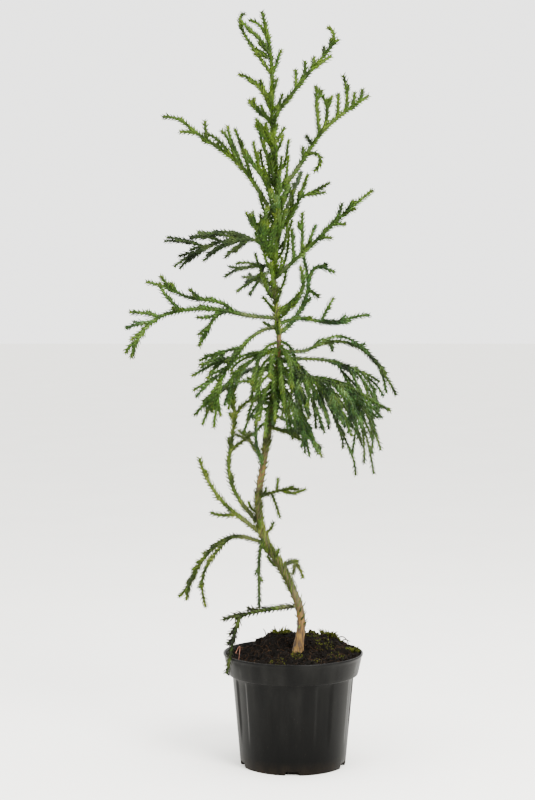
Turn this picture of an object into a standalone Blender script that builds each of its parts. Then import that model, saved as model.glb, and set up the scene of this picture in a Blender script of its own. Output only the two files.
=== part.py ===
"""A young potted cryptomeria: nursery pot, soil, leaning trunk, boughs and sprays of awl needles.

Metres, +Z up. The origin is the centre of the pot's flat underside, and the front is towards -Y.
A heading is in degrees round the trunk: 0 is the right, 90 the back, 180 the left, 270 the front.
A rise is in degrees above level, given at even places from a shoot's foot to its tip.
"""
import math
import random

import bmesh
import bpy
import numpy as np
from mathutils import Vector

# Pot
POT_HEIGHT = 0.149
POT_BASE_RADIUS = 0.0698
POT_SHOULDER_RADIUS = 0.0806
POT_RIM_RADIUS = 0.0924
POT_BAND_HEIGHT = 0.0285
POT_BAND_STEP = 0.0056
POT_WALL = 0.0022
POT_SEGMENTS = 32
NOTCH_COUNT = 5
NOTCH_WIDTH = 0.020
NOTCH_HEIGHT = 0.006
NOTCH_DEPTH = 0.008
NOTCH_TAPER = 0.86
NOTCH_FRONT_TURN = -92

# Soil
SOIL_EDGE_DROP = 0.0050
SOIL_MOUND_HEIGHT = 0.0300
SOIL_MOUND_PLACE = (0.006, 0.044)
SOIL_MOUND_WIDTH = 0.068
SOIL_MOUND_DEPTH = 0.044
SOIL_RIM_FALL = 0.75
SOIL_LUMP = 0.0016
SOIL_LUMP_WAVES = (290, 250)
SOIL_CRUMB_WAVES = (610, 530)
SOIL_LEVEL_RADIUS = 0.018
SOIL_LEVEL_BLEND = 0.014
SOIL_RINGS = 6
SOIL_WALL_GAP = 0.0004
SOIL_EDGE_ROUND = 0.0012
GROUND_LEVEL = 0.1500

# Clear distance between pieces that touch on the real plant
CLEARANCE = 0.0003

# Trunk: height, sideways place and depth of its centre line
TRUNK_LINE = (
    (0.1503, 0.006, -0.012), (0.200, 0.010, -0.010), (0.245, -0.006, -0.006),
    (0.305, -0.040, 0.000), (0.350, -0.046, 0.002), (0.395, -0.040, 0.002),
    (0.475, -0.028, 0.000), (0.550, -0.019, -0.004), (0.640, -0.025, 0.000),
    (0.710, -0.022, 0.004), (0.775, -0.023, 0.002), (0.855, -0.028, 0.000),
    (0.900, -0.028, 0.000),
)
TRUNK_FOOT_RADIUS = 0.0056
TRUNK_TOP_RADIUS = 0.0015
TRUNK_FLARE = 0.0036
TRUNK_FLARE_HEIGHT = 0.012
TRUNK_SIDES = 8
TRUNK_STEP = 0.020

# Boughs and sprays
BOUGH_SIDES = 5
BOUGH_STEP = 0.014
BOUGH_SWELL = 1.25
SHOOT_SIDES = 3
SHOOT_STEP = 0.0185
SHOOT_FOOT_RADIUS = 0.0018
SHOOT_TIP_RADIUS = 0.0009
SHOOT_TWIST = 38.0
NEEDLE_REACH = 0.0030
NEEDLE_ADVANCE = 0.0055
NEEDLE_TIP_LOSS = 0.35
FAN_SIZES = (0.72, 1.1)

# Seeded twigs on every shoot
TWIG_PITCH = 0.050
TWIG_LENGTH = 0.019
TWIG_SPLAY = 42.0
TWIG_LIFT = 0.35
TWIG_SHORTEST = 0.009
TWIG_SIZES = (0.55, 1.15)
TWIG_TIP_LOSS = 0.5
TWIG_ROLL_CHANCE = 25.0
TWIG_OWN_GAP = 0.0050
TWIG_OWN_REACH = 0.0086

# Each mass keeps this far from the limbs and from the other masses
SPACE_GAP = 0.0082
NEEDLE_GAP = 0.0072
SPRAY_TRIES = (1.0, 0.8, 0.6, 0.3, 0.0)
STEM_FOOT = 0.016
FINE_STEP = 0.004

# Colours
POT_COLOR = (0.035, 0.035, 0.034)
SOIL_COLOR = (0.030, 0.020, 0.014)
TRUNK_COLOR = (0.20, 0.11, 0.05)
BOUGH_COLOR = (0.12, 0.10, 0.045)
NEEDLE_COLOR = (0.075, 0.135, 0.030)

GOLDEN_TURN = 137.5
GOLDEN_SHARE = 0.618
SHARP_ANGLE = 40
UP = np.array([0.0, 0.0, 1.0])


def shoot(at, heading, rises, length, *forks):
    """One shoot: its place along its parent from 0 to 1, its heading, rises, length and forks."""
    return {"at": at, "heading": heading, "rises": rises, "length": length, "forks": forks}


def branch(name, height, heading, rises, length, bare, *forks):
    """One branch on the trunk: the first `bare` metres are its bough, the rest is its spray."""
    return dict(shoot(height, heading, rises, length, *forks), name=name, bare=bare)


def fan(count, first, last, heading, spread, rises, length, seed):
    """Evenly spaced side shoots, each turned and sized a little by chance."""
    chance = random.Random(seed)
    shoots = []
    for i in range(count):
        place = first + (last - first) * i / max(count - 1, 1)
        turned = heading + spread * (2 * ((i * GOLDEN_SHARE) % 1) - 1)
        shoots.append(shoot(place, turned, rises, length * chance.uniform(*FAN_SIZES)))
    return shoots


BRANCHES = (
    branch("leader", 0.900, 180, (90, 84, 78, 75), 0.091, 0,
           shoot(0.10, 176, (52, 55, 55, 58, 75, 120), 0.098),
           shoot(0.12, -10, (50, 77, 63), 0.032),
           shoot(0.43, 190, (50, 42, 45), 0.058),
           shoot(0.58, 165, (75, 50, 10), 0.040)),
    branch("top_left_high", 0.865, 186, (70, 60, 38, 8), 0.064, 0,
           shoot(0.50, 200, (35, 25), 0.018)),
    branch("top_left_mid", 0.848, 165, (40, 45, 48), 0.042, 0,
           shoot(0.45, 185, (30, 100), 0.022)),
    branch("top_left_low", 0.812, 212, (55, 58, 56), 0.046, 0,
           shoot(0.40, 180, (30, 60, 90), 0.024)),
    branch("upper_right", 0.850, 8, (66, 52, 50, 52, 48, 58, 130), 0.158, 0,
           shoot(0.33, 100, (88, 72), 0.026),
           shoot(0.45, -60, (85, 88), 0.022),
           shoot(0.56, 50, (80, 80), 0.016),
           shoot(0.57, -5, (28, 38), 0.028),
           shoot(0.70, 60, (80, 85), 0.013),
           shoot(0.80, -40, (80, 90), 0.011)),
    branch("right_upper", 0.756, 22, (43, 54, 58, 42, 34, 34), 0.188, 0.049,
           shoot(0.31, 130, (80, 85), 0.016),
           shoot(0.34, -20, (32, -20, -110, -145), 0.044),
           shoot(0.43, 190, (50, 60), 0.015),
           shoot(0.52, 170, (82, 86, 88), 0.062, shoot(0.72, 0, (62, 62), 0.016)),
           shoot(0.57, -30, (72, 84, 125, 130), 0.064, shoot(0.45, 10, (60, 75), 0.018)),
           shoot(0.71, 80, (85, 86), 0.032),
           shoot(0.78, -10, (75, 95, 108), 0.049),
           shoot(0.85, 60, (70, 80), 0.020),
           shoot(0.91, -50, (60, 75), 0.018)),
    branch("right_inner", 0.713, -14, (18, 62, 72, 66), 0.080, 0,
           shoot(0.60, 5, (20, 32), 0.044)),
    branch("left_upper", 0.722, 164, (61, 58, 52, 36, 33, 41, -6), 0.214, 0.050,
           shoot(0.28, 160, (76, 70, 68), 0.072),
           shoot(0.37, 205, (66, 64, 78), 0.060),
           shoot(0.44, 160, (80, 67, 40), 0.046),
           shoot(0.47, 192, (62, 45, 15), 0.048),
           shoot(0.67, 140, (84, 84), 0.025),
           shoot(0.75, 188, (5, 0), 0.022)),
    branch("left_inner", 0.748, 192, (50, 68, 73, 82), 0.080, 0,
           shoot(0.62, 110, (80, 60), 0.018)),
    branch("left_back", 0.683, 148, (30, 10, -4, -16, -28), 0.130, 0.028,
           *fan(4, 0.26, 0.85, 158, 20, (22, 8, -4), 0.062, 3),
           *fan(4, 0.30, 0.92, 176, 24, (-22, -32, -40), 0.056, 4)),
    branch("left_back_low", 0.660, 162, (2, -6, -12, -42), 0.070, 0,
           shoot(0.16, 192, (-70, -44, -30, -38), 0.052),
           shoot(0.50, 145, (-4, 10), 0.030)),
    branch("right_mid", 0.645, -30, (40, 36, 40, 40, 36, 32), 0.178, 0.026,
           shoot(0.19, 170, (84, 88), 0.042),
           shoot(0.27, 60, (86, 94), 0.054),
           shoot(0.34, 10, (82, 62), 0.032),
           shoot(0.44, -50, (12, -10), 0.026),
           shoot(0.60, -45, (5, -10), 0.022),
           shoot(0.62, 15, (62, 74), 0.027),
           shoot(0.74, -10, (52, 64), 0.017)),
    branch("front_high", 0.690, -82, (50, 70, 82), 0.080, 0,
           *fan(5, 0.22, 0.90, -85, 105, (48, 66, 78), 0.034, 21)),
    branch("front_mid", 0.664, -118, (35, 60, 78), 0.074, 0,
           *fan(4, 0.25, 0.85, -125, 90, (30, 52, 70), 0.034, 23)),
    branch("arc_inner", 0.597, -16, (24, 40, 64, 96, 124, 132), 0.100, 0),
    branch("arc_outer", 0.573, 26, (30, 48, 58, 72, 100, 106, 86), 0.128, 0,
           shoot(0.62, -25, (80, 55, -25, -20), 0.052),
           shoot(0.55, -40, (-20, -40), 0.022)),
    branch("right_thin", 0.584, -8, (22, 10, -12, -8, 16, 14, 0), 0.120, 0,
           shoot(0.42, -6, (-10, -4, 4), 0.040),
           shoot(0.46, 35, (62, 52), 0.037)),
    branch("left_long", 0.592, 194, (0, 8, 13, 4, -4, -14, -36, -62, -76), 0.222, 0.050,
           shoot(0.25, 177, (54, 20, 2, 14, 32, 14, 11), 0.124,
                 shoot(0.38, 165, (40, 36), 0.022),
                 shoot(0.74, 185, (56, 50), 0.021)),
           shoot(0.29, 205, (-20, -16, 10), 0.044),
           shoot(0.33, 190, (-48, -62, -62), 0.056,
                 shoot(0.45, 205, (-38, -34), 0.020)),
           shoot(0.57, 172, (42, 46, 72), 0.046),
           shoot(0.70, 165, (22, 6, 2), 0.042),
           shoot(0.75, 205, (-8, -16), 0.038),
           shoot(0.82, 190, (-35, -42), 0.022),
           shoot(0.90, 175, (-20, -70), 0.022)),
    branch("left_droop", 0.580, 206, (-5, -24, -44, -54, -52, -50), 0.112, 0.030,
           shoot(0.29, 188, (10, 2, -3, 0), 0.080),
           shoot(0.50, 170, (-6, -20, -34, -44), 0.064),
           shoot(0.66, 180, (-8, -18, -32, -26), 0.062),
           shoot(0.74, 205, (-42, -36, -48), 0.066),
           shoot(0.86, 190, (-58, -56, -45), 0.070),
           shoot(0.90, 165, (-66, -66), 0.072),
           shoot(0.94, 215, (-78, -80), 0.066)),
    branch("left_droop_low", 0.549, 172, (-17, -24, -34, -50, -78), 0.088, 0,
           shoot(0.62, 150, (-70, -84), 0.046),
           shoot(0.78, 200, (-80, -86), 0.044),
           shoot(0.66, 250, (-75, -84), 0.034)),
    branch("left_small", 0.478, 184, (10, 68, 60, 8, -22), 0.058, 0,
           shoot(0.38, 140, (72, 80), 0.017)),
    branch("tall_arc", 0.322, 162, (52, 48, 60, 80, 98, 100, 92, 88, 92), 0.194, 0.030,
           shoot(0.55, 10, (38, 30), 0.040),
           shoot(0.76, 192, (58, 50), 0.028),
           shoot(0.76, -10, (68, 56, 34, 20), 0.045)),
    branch("bare_arc", 0.309, 212, (42, 34, 40, 50, 60, 76), 0.140, 0.035,
           shoot(0.32, 185, (-12, 18), 0.034)),
    branch("left_low", 0.297, 166, (12, 16, -2, -26, -42, -50, -58, -62, -60, -40), 0.156, 0.030,
           shoot(0.22, 200, (22, 0), 0.030),
           shoot(0.30, 208, (-40, -46, -52, -76, -100, -106), 0.105),
           shoot(0.78, 150, (-62, -84), 0.034),
           shoot(0.66, 195, (-62, -56, -88), 0.040)),
    branch("hanging_twig", 0.300, 236, (-55, -88, -92, -93), 0.092, 0),
    branch("lowest", 0.213, 202, (0, -4, -8, -14), 0.086, 0.025,
           shoot(0.80, 184, (-2, -26), 0.032),
           shoot(0.90, 200, (-66, -76, -80, -76), 0.078)),
    branch("right_small_low", 0.357, -8, (22, 15, 12, -15), 0.050, 0,
           shoot(0.25, -50, (-55, -66), 0.036),
           shoot(0.55, -25, (-30, 10, 30), 0.036),
           shoot(0.40, 30, (80, 85), 0.018)),
    branch("right_small_high", 0.448, -16, (-20, -14, -4, 4), 0.052, 0,
           shoot(0.20, 14, (-4, 8), 0.032),
           shoot(0.45, -40, (-30, -10), 0.026)),
    branch("right_arch", 0.548, -20, (0, -2, 27, 13, -4, -25, -44, -52, -56, -66), 0.190, 0.040,
           shoot(0.25, 10, (74, 20, -60, -80), 0.038),
           shoot(0.66, -30, (-36, -50), 0.036),
           shoot(0.78, 5, (-66, -84), 0.034)),
    branch("right_second", 0.536, 25, (10, -2, -3, -12, -21, -21, -34), 0.154, 0.030,
           shoot(0.55, 30, (-60, -58, -80), 0.074),
           shoot(0.66, -20, (-66, -58, -70, -90), 0.086),
           shoot(0.72, 0, (-46, -70, -82, -86, -100), 0.116),
           shoot(0.78, 20, (-42, -62, -86), 0.064)),
    branch("right_third", 0.524, -46, (5, -14, -11, -11, -6), 0.120, 0,
           *fan(8, 0.22, 0.92, -22, 38, (-44, -58, -68), 0.068, 11)),
    branch("right_low", 0.503, 4, (22, 14, -4, -22, -30, -32, -26), 0.162, 0.025,
           shoot(0.32, 26, (-56, -64, -64, -62, -66, -90), 0.146),
           shoot(0.48, -8, (-36, -62, -70, -78, -82), 0.136),
           *fan(6, 0.20, 0.64, 0, 36, (-54, -62, -72), 0.084, 5)),
    branch("right_near", 0.492, -48, (0, -36, -56, -66), 0.085, 0,
           *fan(7, 0.18, 0.88, -30, 50, (-44, -60, -64), 0.058, 7)),
    branch("back_high", 0.785, 96, (50, 58, 68), 0.085, 0,
           shoot(0.45, 130, (50, 66), 0.030), shoot(0.60, 60, (55, 66), 0.026)),
    branch("back_upper", 0.700, 72, (42, 38, 44), 0.140, 0,
           shoot(0.40, 45, (60, 70), 0.040), shoot(0.60, 105, (50, 66), 0.036),
           shoot(0.75, 60, (40, 60), 0.026)),
    branch("back_mid", 0.618, 104, (24, 16, 6, -10), 0.150, 0.030,
           shoot(0.45, 130, (20, 0), 0.045), shoot(0.55, 75, (25, 5), 0.045),
           shoot(0.75, 115, (0, -30), 0.035)),
    branch("back_right", 0.530, 80, (10, 2, -16, -38), 0.140, 0,
           *fan(4, 0.35, 0.85, 45, 40, (-6, -40, -66), 0.050, 13)),
    branch("back_droop", 0.512, 70, (12, -8, -36, -62, -74), 0.140, 0.030,
           *fan(5, 0.30, 0.85, 62, 42, (-40, -62, -76), 0.062, 9)),
    branch("back_left", 0.520, 126, (10, -2, -22, -46), 0.130, 0,
           *fan(4, 0.35, 0.85, 135, 36, (-30, -58, -70), 0.048, 15)),
    branch("back_low", 0.400, 112, (36, 24, 6), 0.095, 0,
           shoot(0.55, 140, (20, 10), 0.035), shoot(0.65, 85, (20, 0), 0.030)),
    branch("back_foot", 0.262, 66, (12, 0, -36, -60), 0.080, 0,
           shoot(0.55, 95, (-20, -50), 0.035)),
)


def course(start, heading, rises, length, step):
    """Points of a shoot that starts at `start` and climbs by its rises."""
    count = max(2, round(length / step))
    shares = (np.arange(count) + 0.5) / count
    climb = np.radians(np.interp(shares, np.linspace(0, 1, len(rises)), rises))
    turn = math.radians(heading)
    steps = np.stack([np.cos(climb) * math.cos(turn), np.cos(climb) * math.sin(turn), np.sin(climb)], 1)
    return np.vstack([start, start + np.cumsum(steps, axis=0) * (length / count)])


def point_along(points, share):
    """The point at a share from 0 to 1 of a line of evenly spaced points."""
    place = min(max(share, 0.0), 1.0) * (len(points) - 1)
    i = min(int(place), len(points) - 2)
    return points[i] + (points[i + 1] - points[i]) * (place - i)


def direction_at(points, share):
    """The unit direction of a line at a share of its length."""
    i = min(int(share * (len(points) - 1)), len(points) - 2)
    step = points[i + 1] - points[i]
    return step / np.linalg.norm(step)


def trunk_centre_line(step):
    """The trunk's centre line, a smooth curve through TRUNK_LINE."""
    knots = np.array(TRUNK_LINE)
    levels = knots[:, 0]
    slopes = np.gradient(knots[:, 1:], levels, axis=0)
    count = round((levels[-1] - levels[0]) / step)
    line = []
    for level in np.linspace(levels[0], levels[-1], count + 1):
        i = min(int(np.searchsorted(levels, level, side="right")) - 1, len(levels) - 2)
        span = levels[i + 1] - levels[i]
        t = (level - levels[i]) / span
        place = ((2 * t**3 - 3 * t**2 + 1) * knots[i, 1:] + (t**3 - 2 * t**2 + t) * span * slopes[i]
                 + (3 * t**2 - 2 * t**3) * knots[i + 1, 1:] + (t**3 - t**2) * span * slopes[i + 1])
        line.append([place[0], place[1], level])
    return np.array(line)


def trunk_radius(level):
    """The trunk's radius at a height, with its flare at the soil."""
    foot, top = TRUNK_LINE[0][0], TRUNK_LINE[-1][0]
    share = (level - foot) / (top - foot)
    flare = TRUNK_FLARE * math.exp(-(level - foot) / TRUNK_FLARE_HEIGHT)
    return TRUNK_FOOT_RADIUS + (TRUNK_TOP_RADIUS - TRUNK_FOOT_RADIUS) * share + flare


def trunk_point(line, level):
    """The point of the trunk's centre line at a height, and the line's direction there."""
    i = min(max(int(np.searchsorted(line[:, 2], level)) - 1, 0), len(line) - 2)
    step = line[i + 1] - line[i]
    share = (level - line[i, 2]) / step[2]
    return line[i] + step * share, step / np.linalg.norm(step)


def branch_foot(line, level, heading):
    """Where a branch leaves the trunk's bark, and the direction straight out of it."""
    centre, axis = trunk_point(line, level)
    turn = math.radians(heading)
    out = np.array([math.cos(turn), math.sin(turn), 0.0])
    out -= axis * float(out @ axis)
    out /= np.linalg.norm(out)
    return centre + out * (trunk_radius(level) + CLEARANCE), out


class Space:
    """The room that limbs and masses have taken, as points with an owner."""

    def __init__(self):
        self.points = np.zeros((0, 3))
        self.owners = np.zeros(0, dtype=int)
        self.names = {}

    def take(self, owner, points):
        """Note the points of a line as taken by an owner."""
        number = self.names.setdefault(owner, len(self.names))
        self.points = np.vstack([self.points, points])
        self.owners = np.append(self.owners, np.full(len(points), number))

    def nearest_other(self, points, *left_out):
        """For each point, the distance to the nearest point taken by anyone but those left out."""
        others = self.points
        owners = self.owners
        for name in left_out:
            keep = owners != self.names.get(name, -1)
            others = others[keep]
            owners = owners[keep]
        if len(others) == 0:
            return np.full(len(points), 1.0)
        gaps = np.linalg.norm(points[:, None, :] - others[None, :, :], axis=2)
        return gaps.min(axis=1)

    def nearest_own(self, owner, points, beyond):
        """The distance of points to their owner's lines, leaving out those close to `beyond`."""
        own = self.points[self.owners == self.names[owner]]
        own = own[np.linalg.norm(own - beyond, axis=1) > TWIG_OWN_REACH]
        if len(own) == 0:
            return np.full(len(points), 1.0)
        gaps = np.linalg.norm(points[:, None, :] - own[None, :, :], axis=2)
        return gaps.min(axis=1)


def stem_in_space(space, points):
    """A branch's line cut short before it comes too near an earlier branch, past its own foot."""
    gaps = space.nearest_other(points, "trunk")
    free = round(STEM_FOOT / FINE_STEP)
    blocked = np.nonzero(gaps[free:] < SPACE_GAP)[0]
    return points[:blocked[0] + free] if len(blocked) else points


def fit_in_space(space, owner, points):
    """A line cut short before it comes too near a limb or another mass, or None if too little is left."""
    gaps = space.nearest_other(points, owner)
    blocked = np.nonzero(gaps[1:] < SPACE_GAP)[0]
    if len(blocked) == 0:
        return points
    kept = points[:blocked[0] + 1]
    length = float(np.linalg.norm(np.diff(kept, axis=0), axis=1).sum()) if len(kept) > 1 else 0.0
    return kept if length > TWIG_SHORTEST and len(kept) > 2 else None


def grow_forks(space, owner, parent, forks, lines):
    """Add a shoot's named forks and theirs, each within the mass's own space."""
    for fork in forks:
        foot = point_along(parent, fork["at"])
        line = course(foot, fork["heading"], fork["rises"], fork["length"], FINE_STEP)
        line = fit_in_space(space, owner, line)
        if line is not None:
            space.take(owner, line)
            lines.append(line)
            grow_forks(space, owner, line, fork["forks"], lines)


def grow_twigs(space, owner, lines, seed):
    """Add short twigs along every shoot of a mass by a seeded rule."""
    chance = random.Random(seed)
    twigs = []
    for line in lines:
        length = float(np.linalg.norm(np.diff(line, axis=0), axis=1).sum())
        count = int(length / TWIG_PITCH)
        for i in range(count):
            share = (i + chance.uniform(0.5, 1.0)) / (count + 0.6)
            roll = math.radians(i * GOLDEN_TURN + chance.uniform(-TWIG_ROLL_CHANCE, TWIG_ROLL_CHANCE))
            size = TWIG_LENGTH * chance.uniform(*TWIG_SIZES) * (1 - TWIG_TIP_LOSS * share)
            ahead = direction_at(line, share)
            side = np.cross(ahead, UP)
            side /= max(np.linalg.norm(side), 1e-6)
            over = np.cross(side, ahead)
            splay = math.radians(TWIG_SPLAY)
            out = side * math.cos(roll) + over * math.sin(roll)
            start = ahead * math.cos(splay) + out * math.sin(splay)
            bend = (ahead + UP / 2) * TWIG_LIFT
            foot = point_along(line, share)
            points = [foot]
            for bent in (0.2, 0.6, 1.0):
                step = start + bend * bent
                points.append(points[-1] + step / np.linalg.norm(step) * size / 3)
            points = np.array(points)
            clear = space.nearest_other(points[1:], owner).min() > SPACE_GAP
            roomy = space.nearest_own(owner, points[2:], foot).min() > TWIG_OWN_GAP
            if clear and roomy:
                space.take(owner, points)
                twigs.append(points)
    return twigs


def grow_plant():
    """Every branch by name, with its bough line, its spray lines and its twigs, and the room taken."""
    trunk = trunk_centre_line(TRUNK_STEP)
    space = Space()
    space.take("trunk", trunk_centre_line(FINE_STEP))
    plant = {}
    for spec in BRANCHES:
        name = spec["name"]
        if name == "leader":
            centre, out = trunk_point(trunk, trunk[-1, 2])
            foot = centre + out * CLEARANCE
        else:
            foot, out = branch_foot(trunk, spec["at"], spec["heading"])
        line = course(foot, spec["heading"], spec["rises"], spec["length"], FINE_STEP)
        line = stem_in_space(space, line)
        bare = round(spec["bare"] / FINE_STEP)
        bough = line[:bare + 1] if bare else None
        stem = line[bare:].copy()
        if bough is not None:
            stem[0] += direction_at(line, bare / (len(line) - 1)) * CLEARANCE
            space.take(name + "_bough", bough)
        space.take(name, stem)
        plant[name] = {"forks": spec["forks"], "out": out, "bough": bough, "line": line, "lines": [stem]}
    for name, part in plant.items():
        grow_forks(space, name, part["line"], part["forks"], part["lines"])
    for seed, (name, part) in enumerate(plant.items()):
        part["twigs"] = grow_twigs(space, name, part["lines"], seed)
    return plant, space


def resample(points, step):
    """The same line with about even steps of a given length."""
    lengths = np.append(0.0, np.cumsum(np.linalg.norm(np.diff(points, axis=0), axis=1)))
    count = max(2, round(lengths[-1] / step))
    places = np.linspace(0, lengths[-1], count + 1)
    return np.stack([np.interp(places, lengths, points[:, axis]) for axis in range(3)], axis=1)


def frames(points, first=None):
    """Unit direction and two cross directions at each point, turning as little as possible."""
    steps = np.diff(points, axis=0)
    ahead = np.vstack([steps[:1], steps[:-1] + steps[1:], steps[-1:]])
    if first is not None:
        ahead[0] = first
    ahead /= np.linalg.norm(ahead, axis=1)[:, None]
    across = np.cross(ahead[0], UP if abs(ahead[0][2]) < 0.9 else np.array([1.0, 0.0, 0.0]))
    result = []
    for direction in ahead:
        across = across - direction * float(across @ direction)
        across /= np.linalg.norm(across)
        result.append((direction, across, np.cross(direction, across)))
    return result


def add_rings(bm, points, radii, sides, twist=0.0, first=None):
    """Rings of vertices round a line; returns them with the line's frames."""
    axes = frames(points, first)
    rings = []
    for i, (point, radius) in enumerate(zip(points, radii)):
        _, across, over = axes[i]
        ring = []
        for k in range(sides):
            angle = 2 * math.pi * k / sides + math.radians(twist) * i
            place = point + (across * math.cos(angle) + over * math.sin(angle)) * radius
            ring.append(bm.verts.new(place))
        rings.append(ring)
    return rings, axes


def tube(name, points, radii, sides, first=None):
    """A closed tapering tube with flat ends."""
    bm = bmesh.new()
    rings, _ = add_rings(bm, points, radii, sides, first=first)
    for low, high in zip(rings, rings[1:]):
        for k in range(sides):
            n = (k + 1) % sides
            bm.faces.new((low[k], low[n], high[n], high[k]))
    bm.faces.new(reversed(rings[0]))
    bm.faces.new(rings[-1])
    return finish_mesh(name, bm)


def spray_shoot(name, points, first, needled):
    """A slim three-sided shoot with a needle raised on each side face where there is room."""
    bm = bmesh.new()
    shares = np.linspace(0, 1, len(points))
    radii = SHOOT_FOOT_RADIUS + (SHOOT_TIP_RADIUS - SHOOT_FOOT_RADIUS) * shares
    rings, axes = add_rings(bm, points[:-1], radii[:-1], SHOOT_SIDES, SHOOT_TWIST, first)
    for i, (low, high) in enumerate(zip(rings, rings[1:])):
        ahead = axes[i][0]
        middle = (points[i] + points[i + 1]) / 2
        for k in range(SHOOT_SIDES):
            n = (k + 1) % SHOOT_SIDES
            if not needled[i] or (i + k) % SHOOT_SIDES == 0:
                bm.faces.new((low[k], low[n], high[n], high[k]))
                continue
            centre = sum((np.array(v.co) for v in (low[k], low[n], high[n], high[k])), np.zeros(3)) / 4
            out = centre - middle
            out /= np.linalg.norm(out)
            size = 1 - NEEDLE_TIP_LOSS * shares[i]
            point = middle + out * (NEEDLE_REACH * size + radii[i] / 2) + ahead * NEEDLE_ADVANCE * size
            tip = bm.verts.new(point)
            corners = (low[k], low[n], high[n], high[k])
            for c in range(4):
                bm.faces.new((corners[c], corners[(c + 1) % 4], tip))
    end = bm.verts.new(points[-1])
    last = rings[-1]
    for k in range(SHOOT_SIDES):
        bm.faces.new((last[k], last[(k + 1) % SHOOT_SIDES], end))
    bm.faces.new(reversed(rings[0]))
    bmesh.ops.triangulate(bm, faces=bm.faces)
    return finish_mesh(name, bm)


def finish_mesh(name, bm):
    """Turn a bmesh into an object in the scene, with its faces pointing out."""
    bmesh.ops.recalc_face_normals(bm, faces=bm.faces)
    mesh = bpy.data.meshes.new(name)
    bm.to_mesh(mesh)
    bm.free()
    body = bpy.data.objects.new(name, mesh)
    bpy.context.scene.collection.objects.link(body)
    return body


def apply_modifiers(body):
    """Make an object's modifiers part of its mesh."""
    bpy.context.view_layer.update()
    shaped = bpy.data.meshes.new_from_object(body.evaluated_get(bpy.context.evaluated_depsgraph_get()))
    body.modifiers.clear()
    old = body.data
    body.data = shaped
    bpy.data.meshes.remove(old)
    shaped.name = body.name


def keep_largest_body(body):
    """Drop loose scraps and fill sealed hollows: only the largest closed shell stays."""
    bm = bmesh.new()
    bm.from_mesh(body.data)
    left = set(bm.verts)
    shells = []
    while left:
        shell = {left.pop()}
        edge = list(shell)
        while edge:
            for link in edge.pop().link_edges:
                for vert in link.verts:
                    if vert in left:
                        left.discard(vert)
                        shell.add(vert)
                        edge.append(vert)
        shells.append(shell)
    shells.sort(key=len, reverse=True)
    for shell in shells[1:]:
        bmesh.ops.delete(bm, geom=list(shell), context="VERTS")
    bmesh.ops.triangulate(bm, faces=bm.faces)
    bm.to_mesh(body.data)
    bm.free()


def is_closed(body):
    """True if every edge of the mesh joins exactly two faces."""
    bm = bmesh.new()
    bm.from_mesh(body.data)
    closed = len(bm.faces) > 0 and all(edge.is_manifold for edge in bm.edges)
    bm.free()
    return closed


def join_shoots(name, shoots, solver):
    """Join a mass's shoots into one closed body by one Boolean union."""
    body = shoots[0]
    body.name = name
    group = bpy.data.collections.new(name + "_shoots")
    for piece in shoots[1:]:
        bpy.context.scene.collection.objects.unlink(piece)
        group.objects.link(piece)
    bpy.context.scene.collection.children.link(group)
    if len(shoots) > 1:
        union = body.modifiers.new("Join", "BOOLEAN")
        union.operation = "UNION"
        union.operand_type = "COLLECTION"
        union.collection = group
        union.solver = solver
        apply_modifiers(body)
    for piece in list(group.objects):
        bpy.data.objects.remove(piece)
    bpy.data.collections.remove(group)
    keep_largest_body(body)
    return body


def needle_room(space, owner, points):
    """For each step of a shoot, whether needles have room to stand clear of everything else."""
    gaps = space.nearest_other(points, owner)
    return [min(gaps[i], gaps[i + 1]) > NEEDLE_GAP for i in range(len(points) - 1)]


def spray_shoots(name, part, twigs, space):
    """The separate closed shoots of one mass: its stem, its forks and the given twigs."""
    shoots = []
    for i, line in enumerate(part["lines"] + twigs):
        points = resample(line, SHOOT_STEP)
        first = None
        if i == 0:
            first = part["out"] if part["bough"] is None else direction_at(line, 0)
        needled = needle_room(space, name, points)
        needled[0] = False
        shoots.append(spray_shoot("shoot", points, first, needled))
    return shoots


def make_spray(name, part, space):
    """One mass: its stem, forks and twigs with their needles, fused, with fewer twigs if that fails."""
    spray_name = name if part["bough"] is None else name + "_spray"
    for share in SPRAY_TRIES:
        twigs = part["twigs"][:round(len(part["twigs"]) * share)]
        for solver in ("EXACT", "MANIFOLD"):
            body = join_shoots(spray_name, spray_shoots(name, part, twigs, space), solver)
            if is_closed(body):
                return body
            bpy.data.objects.remove(body)
    raise RuntimeError("the shoots of " + name + " don't join into one closed body")


def make_bough(name, part):
    """A branch's bare foot: one tapering limb from the trunk to its spray."""
    points = resample(part["bough"], BOUGH_STEP)
    swell = np.linspace(BOUGH_SWELL, 1.0, len(points))
    body = tube(name + "_bough", points, SHOOT_FOOT_RADIUS * swell, BOUGH_SIDES, first=part["out"])
    shade_round(body)
    return body


def make_trunk():
    """The trunk, from its flat cut at the soil to its tip."""
    line = trunk_centre_line(TRUNK_STEP)
    radii = [trunk_radius(level) for level in line[:, 2]]
    body = tube("trunk", line, radii, TRUNK_SIDES, first=UP)
    shade_round(body)
    return body


def spin_profile(name, profile, segments):
    """A closed body turned round Z from a profile that starts and ends on the axis."""
    bm = bmesh.new()
    rings = []
    for radius, level in profile[1:-1]:
        ring = []
        for k in range(segments):
            angle = 2 * math.pi * k / segments
            ring.append(bm.verts.new((radius * math.cos(angle), radius * math.sin(angle), level)))
        rings.append(ring)
    for low, high in zip(rings, rings[1:]):
        for k in range(segments):
            n = (k + 1) % segments
            bm.faces.new((low[k], low[n], high[n], high[k]))
    for ring, (_, level) in ((rings[0], profile[0]), (rings[-1], profile[-1])):
        centre = bm.verts.new((0, 0, level))
        for k in range(segments):
            bm.faces.new((ring[k], ring[(k + 1) % segments], centre))
    return finish_mesh(name, bm)


def shade_round(body):
    """Smooth shading, with the sharper edges kept sharp."""
    body.data.shade_smooth()
    body.data.set_sharp_from_angle(angle=math.radians(SHARP_ANGLE))


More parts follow.
